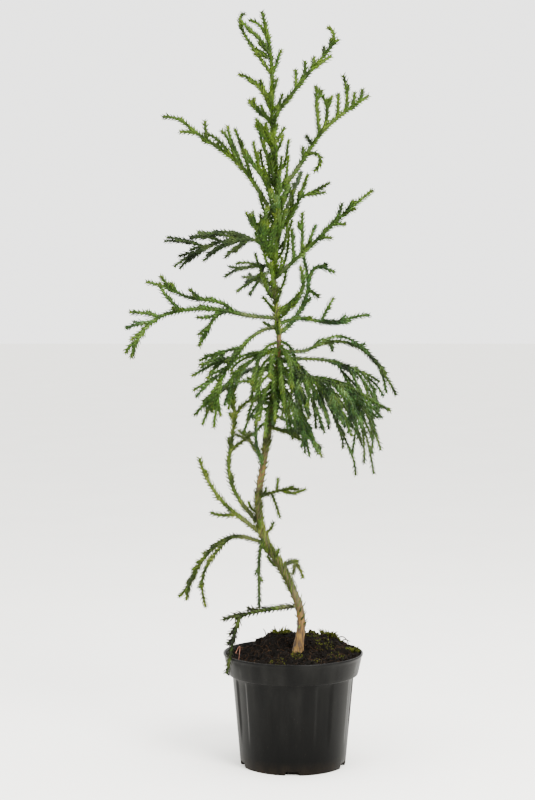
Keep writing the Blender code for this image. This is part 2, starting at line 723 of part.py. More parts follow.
def pot_inner_radius(level):
    """The radius of the pot's inner wall at a height: a taper that opens wider in the rim band."""
    levels = (POT_WALL, POT_HEIGHT - POT_BAND_HEIGHT + POT_WALL, POT_HEIGHT)
    radii = (POT_BASE_RADIUS - POT_WALL, POT_SHOULDER_RADIUS - POT_WALL, POT_RIM_RADIUS - POT_WALL)
    return float(np.interp(level, levels, radii))


def make_pot():
    """The nursery pot: tapered wall, stepped rim band, flat base and drainage notches."""
    band_foot = POT_HEIGHT - POT_BAND_HEIGHT
    profile = [
        (0, 0),
        (POT_BASE_RADIUS, 0),
        (POT_SHOULDER_RADIUS, band_foot),
        (POT_SHOULDER_RADIUS + POT_BAND_STEP, band_foot),
        (POT_RIM_RADIUS, POT_HEIGHT),
        (pot_inner_radius(POT_HEIGHT), POT_HEIGHT),
        (pot_inner_radius(band_foot + POT_WALL), band_foot + POT_WALL),
        (pot_inner_radius(POT_WALL), POT_WALL),
        (0, POT_WALL),
    ]
    pot = spin_profile("pot", profile, POT_SEGMENTS)
    notches = bpy.data.collections.new("notches")
    bpy.context.scene.collection.children.link(notches)
    for i in range(NOTCH_COUNT):
        cutter = make_notch_cutter(math.radians(NOTCH_FRONT_TURN + 360 * i / NOTCH_COUNT))
        bpy.context.scene.collection.objects.unlink(cutter)
        notches.objects.link(cutter)
    cut = pot.modifiers.new("Notches", "BOOLEAN")
    cut.operation = "DIFFERENCE"
    cut.operand_type = "COLLECTION"
    cut.collection = notches
    cut.solver = "MANIFOLD"
    apply_modifiers(pot)
    for cutter in list(notches.objects):
        bpy.data.objects.remove(cutter)
    bpy.data.collections.remove(notches)
    keep_largest_body(pot)
    shade_round(pot)
    return pot


def make_notch_cutter(angle):
    """A block across the pot's lower edge, where a drainage notch opens."""
    bm = bmesh.new()
    bmesh.ops.create_cube(bm, size=1.0)
    for vert in bm.verts:
        x = POT_BASE_RADIUS + vert.co.x * 2 * NOTCH_DEPTH
        y = vert.co.y * NOTCH_WIDTH * (1.0 if vert.co.z < 0 else NOTCH_TAPER)
        z = vert.co.z * 2 * NOTCH_HEIGHT
        vert.co = Vector((x * math.cos(angle) - y * math.sin(angle),
                          x * math.sin(angle) + y * math.cos(angle), z))
    return finish_mesh("notch", bm)


def soil_height(x, y):
    """The soil's height: a low mound behind the trunk, with lumps, and level round the trunk's foot."""
    across = (x - SOIL_MOUND_PLACE[0]) / SOIL_MOUND_WIDTH
    deep = (y - SOIL_MOUND_PLACE[1]) / SOIL_MOUND_DEPTH
    mound = SOIL_MOUND_HEIGHT * math.exp(-across**2 - deep**2)
    mound *= 1 - SOIL_RIM_FALL * (math.hypot(x, y) / POT_RIM_RADIUS) ** 6
    lumps = math.sin(x * SOIL_LUMP_WAVES[0]) * math.cos(y * SOIL_LUMP_WAVES[1])
    lumps += math.sin(x * SOIL_CRUMB_WAVES[0] + y * SOIL_CRUMB_WAVES[1]) / 2
    level = POT_HEIGHT - SOIL_EDGE_DROP + mound + lumps * SOIL_LUMP
    foot = math.hypot(x - TRUNK_LINE[0][1], y - TRUNK_LINE[0][2])
    blend = min(max((foot - SOIL_LEVEL_RADIUS) / SOIL_LEVEL_BLEND, 0.0), 1.0)
    return GROUND_LEVEL * (1 - blend) + level * blend


def make_soil():
    """The soil that fills the pot, with a lumpy mounded top."""
    bm = bmesh.new()
    foot = np.array([TRUNK_LINE[0][1], TRUNK_LINE[0][2]])
    edge_level = POT_HEIGHT - SOIL_EDGE_DROP
    band_foot = POT_HEIGHT - POT_BAND_HEIGHT
    angles = [2 * math.pi * k / POT_SEGMENTS for k in range(POT_SEGMENTS)]

    def wall_ring(level):
        radius = pot_inner_radius(level) - SOIL_WALL_GAP
        return [bm.verts.new((radius * math.cos(a), radius * math.sin(a), level)) for a in angles]

    rings = [wall_ring(POT_WALL + CLEARANCE), wall_ring(band_foot + POT_WALL),
             wall_ring(edge_level - SOIL_EDGE_ROUND)]
    rim_radius = pot_inner_radius(edge_level) - SOIL_EDGE_ROUND
    for step in range(SOIL_RINGS - 1, 0, -1):
        share = step / SOIL_RINGS
        ring = []
        for a in angles:
            rim = np.array([math.cos(a), math.sin(a)]) * rim_radius
            x, y = foot + (rim - foot) * share
            ring.append(bm.verts.new((x, y, soil_height(x, y))))
        rings.append(ring)
    for low, high in zip(rings, rings[1:]):
        for k in range(POT_SEGMENTS):
            n = (k + 1) % POT_SEGMENTS
            bm.faces.new((low[k], low[n], high[n], high[k]))
    base = bm.verts.new((0, 0, POT_WALL + CLEARANCE))
    top = bm.verts.new((foot[0], foot[1], GROUND_LEVEL))
    for k in range(POT_SEGMENTS):
        n = (k + 1) % POT_SEGMENTS
        bm.faces.new((rings[0][n], rings[0][k], base))
        bm.faces.new((rings[-1][k], rings[-1][n], top))
    bmesh.ops.triangulate(bm, faces=bm.faces)
    return finish_mesh("soil", bm)


def material(name, color, roughness):
    """A plain material with a colour and a roughness."""
    look = bpy.data.materials.new(name)
    look.use_nodes = True
    shader = look.node_tree.nodes["Principled BSDF"]
    shader.inputs["Base Color"].default_value = (*color, 1.0)
    shader.inputs["Roughness"].default_value = roughness
    shader.inputs["Metallic"].default_value = 0.0
    return look


def main():
    for old in list(bpy.data.objects):
        bpy.data.objects.remove(old)
    root = bpy.data.objects.new("cryptomeria", None)
    bpy.context.scene.collection.objects.link(root)
    pieces = {make_pot(): material("pot_plastic", POT_COLOR, 0.42)}
    pieces[make_soil()] = material("soil", SOIL_COLOR, 0.95)
    pieces[make_trunk()] = material("trunk_bark", TRUNK_COLOR, 0.85)
    plant, space = grow_plant()
    for i, (name, part) in enumerate(plant.items()):
        if part["bough"] is not None:
            pieces[make_bough(name, part)] = material(name + "_bark", BOUGH_COLOR, 0.8)
        shade = 0.85 + 0.3 * ((i * GOLDEN_SHARE) % 1)
        leaf = [channel * shade for channel in NEEDLE_COLOR]
        pieces[make_spray(name, part, space)] = material(name + "_needles", leaf, 0.6)
    for body, look in pieces.items():
        body.data.materials.clear()
        body.data.materials.append(look)
        body.parent = root


main()
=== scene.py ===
"""The looks of a young potted cryptomeria: bark, awl needles, moulded pot, crumbly soil and studio.

The limbs and masses grow by the same rule and sizes as the solids, and go on to finer twigs.
A heading is in degrees round the trunk: 0 is the right, 90 the back, 180 the left, 270 the front.
A rise is in degrees above level, given at even places from a shoot's foot to its tip.
"""

import math
import random

import bmesh
import bpy
import numpy as np
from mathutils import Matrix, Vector, noise


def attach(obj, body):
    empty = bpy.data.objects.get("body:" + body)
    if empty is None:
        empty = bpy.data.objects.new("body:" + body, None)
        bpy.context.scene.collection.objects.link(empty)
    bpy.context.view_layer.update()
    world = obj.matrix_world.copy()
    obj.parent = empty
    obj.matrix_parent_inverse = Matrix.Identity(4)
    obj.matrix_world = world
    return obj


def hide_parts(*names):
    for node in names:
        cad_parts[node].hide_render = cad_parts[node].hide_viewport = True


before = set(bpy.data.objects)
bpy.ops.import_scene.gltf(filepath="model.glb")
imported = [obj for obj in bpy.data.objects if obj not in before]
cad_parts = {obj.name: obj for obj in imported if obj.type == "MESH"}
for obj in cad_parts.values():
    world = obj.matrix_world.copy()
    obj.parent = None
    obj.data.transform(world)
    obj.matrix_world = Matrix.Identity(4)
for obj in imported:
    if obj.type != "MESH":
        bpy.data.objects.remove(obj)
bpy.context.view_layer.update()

# Pot
POT_HEIGHT = 0.149
POT_BASE_RADIUS = 0.0698
POT_SHOULDER_RADIUS = 0.0806
POT_RIM_RADIUS = 0.0924
POT_BAND_HEIGHT = 0.0285
POT_BAND_STEP = 0.0056
POT_WALL = 0.0018
POT_SEGMENTS = 288
POT_INSIDE_DEPTHS = (0.006, 0.012, 0.020, 0.030)
POT_SHARP_TURN = 50
INSIDE_GAP = 0.0001
NOTCH_COUNT = 5
NOTCH_WIDTH = 0.018
NOTCH_HEIGHT = 0.0055
NOTCH_DEPTH = 0.008
NOTCH_FRONT_TURN = -92
NOTCH_EDGE = 1.2
FLUTE_COUNT = 8
FLUTE_FIRST_TURN = -105
FLUTE_WIDTH = 16.5
FLUTE_EDGE = 3.4
FLUTE_DEPTH = 0.0016
FLUTE_TOP = 0.1165
FLUTE_TOP_BLEND = 0.0015
FLUTE_FOOT = 0.030
FLUTE_FOOT_BLEND = 0.030
BAND_FLUTE_SHARE = 0.25
WALL_ROWS = 30
WALL_FOOT = 0.0075
WALL_TOP_GAP = 0.0015
BAND_ROWS = 8
BAND_FOOT_GAP = 0.001
BAND_TOP_GAP = 0.004

# The pot's small bevels: how far out and up each corner lies from the sharp corner of the outline
INNER_BEVEL = ((-0.002, 0.0), (0.0, 0.0))
NOTCH_BEVEL = ((0.0004, 0.0),)
FOOT_BEVEL = ((-0.0012, 0.0), (-0.0003, 0.0003), (0.0, 0.0012))
STEP_BEVEL = ((0.0004, -0.0006), (0.0012, 0.0))
BAND_BEVEL = ((-0.0010, 0.0), (-0.0003, 0.0003), (0.0, 0.0010))
RIM_BEVEL = ((0.0002, -0.0026), (0.0004, -0.0014), (0.0001, -0.0004), (-0.0006, 0.0),
             (-0.0015, -0.0001), (-0.0022, -0.0008))

# Nubs that the mould leaves on the rim band: outline as lift and width
NUB_RADIUS = 0.0008
NUB_LIFT = 0.7
NUB_SUNK = 0.0002
NUB_SIDES = 10
NUB_OUTLINE = ((0, 1.0), (0.5, 0.87), (0.85, 0.5), (1.0, 0.12))
NUB_TURN = 2.5
NUB_LEVEL = 0.006
NUB_LEVEL_CHANCE = 0.004

# Soil: its plain shape
SOIL_RADIUS = 0.0890
SOIL_EDGE_DROP = 0.0050
SOIL_MOUND_HEIGHT = 0.0300
SOIL_MOUND_PLACE = (0.006, 0.044)
SOIL_MOUND_WIDTH = 0.068
SOIL_MOUND_DEPTH = 0.044
SOIL_RIM_FALL = 0.75
SOIL_RIM_POWER = 6
SOIL_LUMP = 0.0016
SOIL_LUMP_WAVES = (290, 250)
SOIL_CRUMB_WAVES = (610, 530)
SOIL_LEVEL_RADIUS = 0.018
SOIL_LEVEL_BLEND = 0.014
GROUND_LEVEL = 0.1500

# Soil: its roughness, the cap on its mound, its dip on the left, and its skirt inside the pot
SOIL_RINGS = 78
SOIL_SPOKES = 260
SOIL_ROUGH = 0.0030
SOIL_ROUGH_WAVES = 190
SOIL_ROUGH_DETAIL = (0.8, 2.1, 5)
SOIL_CLOD = 0.0085
SOIL_CLOD_WAVES = 95
SOIL_CLOD_SHIFT = (3.1, 0, 0)
SOIL_WALL_BLEND = 0.006
SOIL_CAP = 0.1650
SOIL_CAP_BLEND = 0.006
SOIL_DIP = 0.0075
SOIL_DIP_EDGE = -0.030
SOIL_DIP_BLEND = 0.034
SOIL_SKIRT = 0.014
SOIL_SKIRT_SHARE = 0.01

# Crumbs and bark chips on the soil, and how far all bits stay from its edge
CRUMB_COUNT = 2600
CRUMB_SIZES = (0.0007, 0.0023)
CRUMB_SIZE_POWER = 3
CRUMB_UNEVEN = (0.65, 1.25)
CRUMB_SHAPES = ((0.7, 1.3), (0.7, 1.3), (0.5, 1.0))
CRUMB_LIFT = 0.2
CHIP_COUNT = 210
CHIP_SIZES = (0.0020, 0.0052)
CHIP_WIDTHS = (0.25, 0.5)
CHIP_THICKNESS = 0.14
CHIP_UNEVEN = (0.6, 1.15)
CHIP_LEAN = 35
CHIP_LIFT = 0.0006
SOIL_MARGIN = 0.002
BIT_MARGIN = 0.001

# Clear distance between the pieces of the solids
CLEARANCE = 0.0003

# Trunk: height, sideways place and depth of its centre line
TRUNK_LINE = (
    (0.1503, 0.006, -0.012), (0.200, 0.010, -0.010), (0.245, -0.006, -0.006),
    (0.305, -0.040, 0.000), (0.350, -0.046, 0.002), (0.395, -0.040, 0.002),
    (0.475, -0.028, 0.000), (0.550, -0.019, -0.004), (0.640, -0.025, 0.000),
    (0.710, -0.022, 0.004), (0.775, -0.023, 0.002), (0.855, -0.028, 0.000),
    (0.900, -0.028, 0.000),
)
TRUNK_FOOT_RADIUS = 0.0056
TRUNK_TOP_RADIUS = 0.0015
TRUNK_FLARE = 0.0026
TRUNK_FLARE_HEIGHT = 0.012
TRUNK_STEP = 0.020
TRUNK_BURIED = 0.008
TRUNK_FOOT_SWELL = 1.05

# Boughs and sprays, sized as in the solids
BOUGH_SWELL = 1.25
SHOOT_FOOT_RADIUS = 0.0018
FAN_SIZES = (0.72, 1.1)

# Seeded twigs on every shoot
TWIG_PITCH = 0.050
TWIG_LENGTH = 0.019
TWIG_SPLAY = 42.0
TWIG_LIFT = 0.35
TWIG_SHORTEST = 0.009
TWIG_SIZES = (0.55, 1.15)
TWIG_TIP_LOSS = 0.5
TWIG_ROLL_CHANCE = 25.0
TWIG_OWN_GAP = 0.0050
TWIG_OWN_REACH = 0.0086
TWIG_PLACES = (0.5, 1.0)
TWIG_END = 0.6
TWIG_BENDS = (0.2, 0.6, 1.0)

# Each mass keeps this gap from the limbs and from the other masses, past the foot of its first shoot
SPACE_GAP = 0.0082
STEM_FOOT = 0.016
FINE_STEP = 0.004
FAR_AWAY = 1.0
TINY = 1e-6

# Finer twigs, and ropes beside the shoots of the dense masses
FINE_PITCH = 0.036
FINE_LENGTH = 0.0150
FINE_SIZES = (0.5, 1.3)
FINE_SPLAY = 28.0
FINE_PLACES = (0.3, 1.0)
FINE_END = 0.5
FINE_BENDS = (0.1, 0.4, 0.8)
FINE_PITCH_OF_LOOK = {"needles_deep": 0.075, "needles_painted_shade": 0.050}
ROPES_BESIDE = {
    "right_low": 2, "right_second": 2, "right_third": 2, "right_near": 2, "right_arch": 1,
    "left_droop": 2, "left_droop_low": 3, "left_back": 2, "front_mid": 6,
    "front_high": 6, "back_droop": 1, "back_right": 1, "back_left": 1,
    "top_left_low": 3, "top_left_mid": 2, "left_inner": 3, "right_inner": 2, "left_back_low": 1,
}
ROPE_SHORTEST = 0.036
ROPE_FEWEST_POINTS = 4
ROPE_SIZES = (0.55, 0.92)
ROPE_TURN = (9, 26)
ROPE_FEET = (0.04, 0.50)

# Radii of the shoots under their needles, at foot and tip
MAIN_RADII = (0.0024, 0.0016)
SIDE_RADII = (0.0020, 0.0015)
FINE_RADII = (0.0017, 0.0012)
FINE_NEEDLES = 0.9
PLAIN_SIZE = (1.0, 1.0)

# Thicker or thinner ropes, as the photo shows them: shares of the ordinary stem and needle
SIZE_OF_MASS = {
    "leader": (1.22, 1.08), "arc_inner": (1.42, 1.20), "arc_outer": (1.35, 1.20),
    "tall_arc": (1.22, 1.20), "bare_arc": (1.28, 1.20), "lowest": (1.30, 1.28),
    "left_long": (1.26, 1.12), "left_low": (1.20, 1.10), "top_left_high": (1.15, 1.10),
    "top_left_mid": (1.20, 1.10), "top_left_low": (1.10, 1.08), "left_small": (1.12, 1.08),
    "left_upper": (1.26, 1.13), "upper_right": (1.20, 1.12), "right_thin": (1.12, 1.10),
    "right_mid": (1.20, 1.10), "back_foot": (1.10, 1.08), "right_small_high": (1.10, 1.08),
    "left_droop": (1.00, 1.05), "right_upper": (1.26, 1.13), "right_low": (0.85, 1.02),
    "right_second": (0.86, 1.04), "right_third": (0.86, 1.04), "right_near": (0.88, 1.04),
    "left_back": (0.96, 1.02), "right_arch": (0.95, 1.04),
}

# Needles: curved awls that wind round the shoot
NEEDLE_PITCH = 0.00080
NEEDLE_ADVANCE = 0.0042
NEEDLE_STAND = 0.0032
NEEDLE_WIND = 40.0
NEEDLE_WIDTH = 0.0017
NEEDLE_KEEL = 0.0009
NEEDLE_STATIONS = (0.0, 0.52, 1.0)
NEEDLE_STANDS = (0.0, 0.50, 1.0)
NEEDLE_GIRTHS = (1.0, 0.80)
NEEDLE_CHANCE = 0.22
NEEDLE_SEAT = 0.8
TIP_LENGTH = 0.006
TIP_SHARE = 0.70
TIP_LONGEST_SHARE = 0.45
TIP_PITCH = 0.8
BOUGH_NEEDLE_PITCH = 0.00070
TRUNK_NEEDLE_PITCH = 0.00042
TRUNK_NEEDLE_SIZE = 1.45
TRUNK_NEEDLE_ROWS = 2
TRUNK_GREEN_LEVEL = 0.62

# Old needles on the trunk: lowest and highest place and their share
TRUNK_NEEDLE_SPANS = (
    (0.180, 0.230, 0.30), (0.230, 0.366, 0.95), (0.366, 0.412, 0.34), (0.412, 0.536, 1.0),
    (0.536, 0.566, 0.36), (0.566, 0.640, 0.80), (0.640, 0.900, 0.80),
)

# Short shoots on the trunk itself: lowest and highest foot, number, rises, length and colour
TRUNK_SHOOTS = (
    (0.252, 0.360, 7, (20, 55, 75), 0.016, "needles_olive"),
    (0.450, 0.480, 5, (10, -30, -45), 0.030, "needles_deep"),
    (0.482, 0.562, 26, (-6, -48, -70, -80), 0.062, "needles_fresh"),
    (0.566, 0.620, 6, (20, 40, 30), 0.028, "needles_top"),
    (0.612, 0.800, 30, (40, 64, 78, 82), 0.048, "needles_top"),
    (0.800, 0.892, 9, (46, 62, 66), 0.030, "needles_top"),
)
TRUNK_SHOOT_HEADINGS = (165, 375)
TRUNK_SHOOT_SIZES = (0.65, 1.2)
RISE_CHANCE = 8

# Ropes that run close along the trunk: their colour and the places of their points
TRUNK_ROPES = (
    ("needles_deep", ((-0.040, -0.002, 0.398), (-0.050, -0.006, 0.425), (-0.049, -0.008, 0.455),
                      (-0.044, -0.008, 0.490))),
    ("needles_deep", ((-0.028, -0.006, 0.450), (-0.020, -0.010, 0.475), (-0.018, -0.010, 0.505))),
    ("needles_deep", ((-0.024, -0.006, 0.500), (-0.030, -0.010, 0.520), (-0.030, -0.012, 0.548))),
    ("needles_top", ((-0.031, -0.002, 0.936), (-0.039, -0.004, 0.944), (-0.046, -0.005, 0.950))),
    ("needles_top", ((-0.033, -0.002, 0.930), (-0.042, -0.005, 0.935), (-0.052, -0.006, 0.934))),
    ("needles_top", ((-0.036, 0.000, 0.934), (-0.046, 0.002, 0.941), (-0.053, 0.004, 0.943))),
)

# Stems under the needles, and limbs with the relief of their bark
STEM_SIDES = 5
ROPE_STEP = 0.0028
LIMB_SIDES = 14
LIMB_STEP = 0.0016
BARK_RIDGES = 0.16
BARK_LUMPS = 0.12
RIDGE_WAVES = 2.6
RIDGE_RISE_WAVES = 60
LUMP_WAVES = 420

# Needle colours in linear light: shade, main colour and light
NEEDLE_LOOKS = {
    "needles_top": ((0.010, 0.024, 0.001), (0.029, 0.060, 0.003), (0.058, 0.096, 0.007)),
    "needles_fresh": ((0.008, 0.022, 0.002), (0.026, 0.060, 0.007), (0.062, 0.112, 0.018)),
    "needles_deep": ((0.004, 0.012, 0.003), (0.017, 0.046, 0.010), (0.070, 0.126, 0.038)),
    # The dark needles are painted shade: a darker copy of the green, for masses that lie in shadow
    # and for single shaded ropes
    "needles_painted_shade": ((0.004, 0.008, 0.002), (0.015, 0.028, 0.008), (0.046, 0.068, 0.020)),
    "needles_olive": ((0.011, 0.017, 0.002), (0.036, 0.052, 0.006), (0.090, 0.110, 0.018)),
    "needles_mossy": ((0.0015, 0.0015, 0.0010), (0.0070, 0.0080, 0.0025), (0.040, 0.046, 0.010)),
    "needles_tip": ((0.018, 0.032, 0.002), (0.040, 0.068, 0.004), (0.076, 0.108, 0.010)),
}
NEEDLE_PLACES = (0.34, 0.50, 0.68)
TIPPED_LOOKS = ("needles_top", "needles_fresh", "needles_olive")
# Stems under the needles: green, made darker as painted shade for the shadow in the gaps between the
# needles
STEM_SHADE_GREENS = ((0.008, 0.015, 0.002), (0.020, 0.036, 0.005), (0.040, 0.060, 0.010))

# Other colours that single ropes of a mass take, each with its chance; the dark needles that ropes of
# the deep masses take are painted shade between the ropes
ROPE_LOOKS = {
    "needles_deep": (("needles_painted_shade", 0.36), ("needles_fresh", 0.14)),
    "needles_fresh": (("needles_deep", 0.16),),
    "needles_top": (("needles_fresh", 0.20),),
}

# The masses of each colour
MASSES_OF_LOOK = {
    "needles_top": (
        "leader top_left_high top_left_mid top_left_low upper_right right_upper left_upper "
        "left_inner right_inner back_high"),
    # These masses lie in shadow and take the dark needles, which are painted shade
    "needles_painted_shade": "left_back left_back_low back_upper hanging_twig back_mid back_left",
    "needles_fresh": (
        "right_mid front_high front_mid arc_inner right_thin left_long left_droop "
        "left_droop_low"),
    "needles_deep": (
        "arc_outer left_small right_arch right_second right_third right_low right_near "
        "back_right back_droop"),
    "needles_olive": (
        "tall_arc bare_arc left_low right_small_low right_small_high back_low back_foot"),
    "needles_mossy": "lowest",
}
LOOK_OF_MASS = {mass: look for look, masses in MASSES_OF_LOOK.items() for mass in masses.split()}

# Bits that lie or stand in the soil: sideways place, depth and height over the soil of each point
BARE_ROOTS = (
    ((-0.076, -0.014, 0.012), (-0.072, -0.008, 0.018), (-0.070, -0.013, 0.018),
     (-0.071, -0.024, 0.011), (-0.072, -0.034, 0.000)),
)
BARE_ROOT_RADIUS = 0.00045
STALKS = (
    ((-0.036, 0.058, -0.002), (-0.037, 0.060, 0.007), (-0.040, 0.061, 0.015)),
    ((-0.024, 0.062, -0.002), (-0.023, 0.063, 0.006), (-0.025, 0.064, 0.013)),
    ((0.058, 0.050, -0.002), (0.063, 0.051, 0.007), (0.071, 0.050, 0.008), (0.076, 0.049, 0.003)),
    ((0.066, 0.046, -0.001), (0.070, 0.047, 0.006), (0.078, 0.046, 0.007)),
)
STALK_RADIUS = 0.00100

# Steps, tips and sides of the roots and stalks
BIT_STEP = 0.0008
BIT_TIP_SHARE = 0.5
BIT_SIDES = 6
CORNER_CUT = 0.25
CORNER_ROUNDS = 3

# Fibres on the soil
FIBRE_COUNT = 170
FIBRE_LENGTHS = (0.005, 0.016)
FIBRE_LIFTS = (0.05, 0.35)
FIBRE_BEND = 1.4
FIBRE_REACH = 0.97
FIBRE_STEPS = 6
FIBRE_FEWEST_POINTS = 4
FIBRE_RADII = (0.00022, 0.00010)
FIBRE_SIDES = 4

# Moss: its blades, and then each tuft's sideways place, depth, reach, number of blades and height
MOSS_LEANS = (0.1, 0.9)
MOSS_RISES = (0.6, 1.2)
MOSS_LENGTHS = (0.4, 1.0)
MOSS_SUNK = 0.0005
MOSS_DROOP = 0.03
MOSS_RADII = (0.0005, 0.0009, 0.0007, 0.0001)
MOSS_SIDES = 4
MOSS_TUFTS = (
    (0.050, 0.050, 0.0080, 190, 0.0130), (0.064, 0.044, 0.0060, 80, 0.0055),
    (0.080, 0.010, 0.0080, 130, 0.0070), (0.030, -0.050, 0.0110, 90, 0.0026),
    (-0.020, -0.055, 0.0120, 90, 0.0026), (0.004, -0.030, 0.0080, 80, 0.0030),
    (-0.016, 0.052, 0.0090, 150, 0.0110), (0.040, 0.010, 0.0140, 120, 0.0028),
    (0.056, -0.022, 0.0120, 90, 0.0026), (0.024, 0.036, 0.0120, 90, 0.0034),
)

# Tones of bark in linear light: tan and green ones, and how much of the tan ones shows by height
TRUNK_TONES = ((0.005, 0.0020, 0.0007), (0.036, 0.016, 0.0010), (0.118, 0.060, 0.003))
TRUNK_GREENS = ((0.005, 0.005, 0.0016), (0.019, 0.021, 0.0032), (0.048, 0.044, 0.008))
TRUNK_TAN = (
    (0.00, 1.0), (0.195, 1.0), (0.230, 0.15), (0.365, 0.25), (0.385, 0.8), (0.402, 0.8),
    (0.425, 0.1), (0.530, 0.1), (0.545, 0.9), (0.562, 0.9), (0.580, 0.1), (0.700, 0.0),
)
BOUGH_TONES = ((0.018, 0.013, 0.005), (0.050, 0.036, 0.010), (0.100, 0.068, 0.018))
BOUGH_GREENS = ((0.009, 0.014, 0.002), (0.022, 0.034, 0.005), (0.056, 0.070, 0.011))
BOUGH_TAN = ((0.0, 0.20), (0.5, 0.08))
BARK_PLACES = (0.30, 0.47, 0.64)

# Looks of the soil and the bits in it: tones and their places, size of the grain, and how dark or
# light single bits may be
EARTH_PLACES = (0.30, 0.55, 0.80)
CHIP_TONES = ((0.004, 0.002, 0.001), (0.018, 0.009, 0.004), (0.050, 0.027, 0.012))
EARTH_LOOKS = {
    "soil": (((0.0006, 0.0005, 0.0003), (0.0018, 0.0011, 0.0006), (0.0060, 0.0034, 0.0015)),
             (0.30, 0.52, 0.75), 260, 0.9, 1.1),
    "crumbs": (((0.0008, 0.0006, 0.0004), (0.0030, 0.0019, 0.0009), (0.0110, 0.0062, 0.0028)),
               EARTH_PLACES, 300, 0.5, 1.5),
    "chips": (CHIP_TONES, EARTH_PLACES, 350, 0.5, 1.4),
    "fibres": (((0.010, 0.005, 0.002), (0.038, 0.020, 0.009), (0.095, 0.058, 0.030)),
               EARTH_PLACES, 400, 0.6, 1.3),
    "moss": (((0.007, 0.008, 0.002), (0.032, 0.037, 0.004), (0.110, 0.116, 0.016)),
             EARTH_PLACES, 300, 0.7, 1.3),
    "roots": (((0.120, 0.050, 0.032), (0.210, 0.100, 0.070), (0.300, 0.160, 0.120)),
              EARTH_PLACES, 300, 0.9, 1.1),
    "stalks": (CHIP_TONES, EARTH_PLACES, 300, 0.6, 1.0),
}

# Pot in linear light: upper wall, foot darkened as painted shade, pale dust and dried soil, and the
# heights of its fades
POT_TONES = (
    (0.35, (0.0011, 0.0011, 0.0010)), (0.50, (0.0022, 0.0022, 0.0020)),
    (0.70, (0.0050, 0.0049, 0.0045)),
)
# The foot's tones are painted shade: the plastic fades to them from the band down
POT_FOOT_SHADE_TONES = (
    (0.35, (0.0001, 0.0001, 0.0001)), (0.55, (0.0003, 0.0003, 0.0002)),
    (0.75, (0.0008, 0.0008, 0.0007)),
)
POT_DUST_TONES = ((0.3, (0.008, 0.0075, 0.006)), (0.7, (0.020, 0.019, 0.016)))
POT_DIRT_TONES = ((0.3, (0.006, 0.004, 0.002)), (0.7, (0.018, 0.012, 0.007)))
POT_DUST_SHARES = ((0.70, (0.0, 0.0, 0.0)), (0.76, (1.0, 1.0, 1.0)))
POT_SHADE_FADE_LEVELS = (0.020, 0.120)
POT_DIRT_LEVELS = (0.0, 0.018)
POT_DIRT_MOST = 0.75

# Numbers of a mix node's colour inputs and colour output
MIX_COLORS = (6, 7)
MIX_RESULT = 2

# Grain of each look, as noise: its scale, its detail and how far it is stretched along each axis
NOISE_ROUGHNESS = 0.55
NEEDLE_PATCHES = (38, 3.0)
NEEDLE_GRAIN = (900, 2.0)
BARK_STRIPS = (420, 5.0, (1, 1, 0.16))
BARK_PATCHES = (260, 4.0, (1, 1, 0.35))
POT_STREAKS = (60, 5.0, (1, 1, 0.18))
POT_SPECKS = (700, 2.0)
POT_DIRT_PATCHES = (120, 4.0)
POT_GRAIN = (1500, 2.0)
FLOOR_PATCHES = (3.0, 3.0)
EARTH_DETAIL = 6.0
EARTH_BUMP_SCALE = 4
EARTH_BUMP_DETAIL = 4.0

# Roughness and sheen of each look, and how dark or light single needles may be
NEEDLE_FINISH = (0.52, 0.10)
NEEDLE_ROUGHNESS = (0.40, 0.64)
NEEDLE_SHARES = (0.50, 1.45)
BARK_FINISH = (0.82, 0.50)
POT_FINISH = (0.42, 0.06)
POT_ROUGHNESS = (0.34, 0.50)
EARTH_FINISH = (0.93, 0.08)
FLOOR_FINISH = (0.85, 0.50)

# Relief of each look: strength and depth
BARK_BUMP = (0.6, 0.0008)
POT_BUMP = (0.12, 0.0002)
EARTH_BUMP = (0.7, 0.0010)

# Stage, lights and camera
FLOOR_REACH = 30.0
FLOOR_TONES = ((0.3, (0.86, 0.85, 0.81)), (0.7, (0.89, 0.88, 0.84)))
WORLD_TONE = (1.0, 0.995, 0.975, 1.0)
WORLD_STRENGTH = 3.0
LIGHTS = (
    ("key", (1.3, -1.9, 2.0), (1.1, 1.1), 190, (1.0, 0.985, 0.96)),
    ("fill", (-1.9, -1.7, 1.2), (1.6, 1.6), 40, (0.98, 0.99, 1.0)),
    ("top", (0.1, -0.2, 2.4), (1.4, 1.0), 60, (1.0, 1.0, 1.0)),
)
LIGHT_AIM = (0, 0, 0.5)
CAMERA_PLACE = (-0.034, -2.34, 0.601)
CAMERA_PITCH = 2.88
CAMERA_LENS = 80
CAMERA_SENSOR = 36

# Spacing that never repeats, round a stem in degrees and over a range, and the main directions
GOLDEN_TURN = 137.5
GOLDEN_SHARE = 0.618
UP = np.array([0.0, 0.0, 1.0])
SIDEWAYS = np.array([1.0, 0.0, 0.0])
INWARDS = np.array([0.0, 1.0, 0.0])
NEARLY_UPRIGHT = 0.9

# Seeds of the random draws
FOLIAGE_SEED = 7
TRUNK_SHOOT_SEED = 23
LIMB_SEED = 11
POT_SEED = 3
SOIL_SEED = 5


def fan(count, first, last, heading, spread, rises, length, seed):
    """Evenly spaced side shoots, each turned and sized a little by chance."""
    chance = random.Random(seed)
    shoots = []
    for i in range(count):
        place = first + (last - first) * i / max(count - 1, 1)
        aim = heading + spread * (2 * ((i * GOLDEN_SHARE) % 1) - 1)
        shoots.append((place, aim, rises, length * chance.uniform(*FAN_SIZES)))
    return shoots


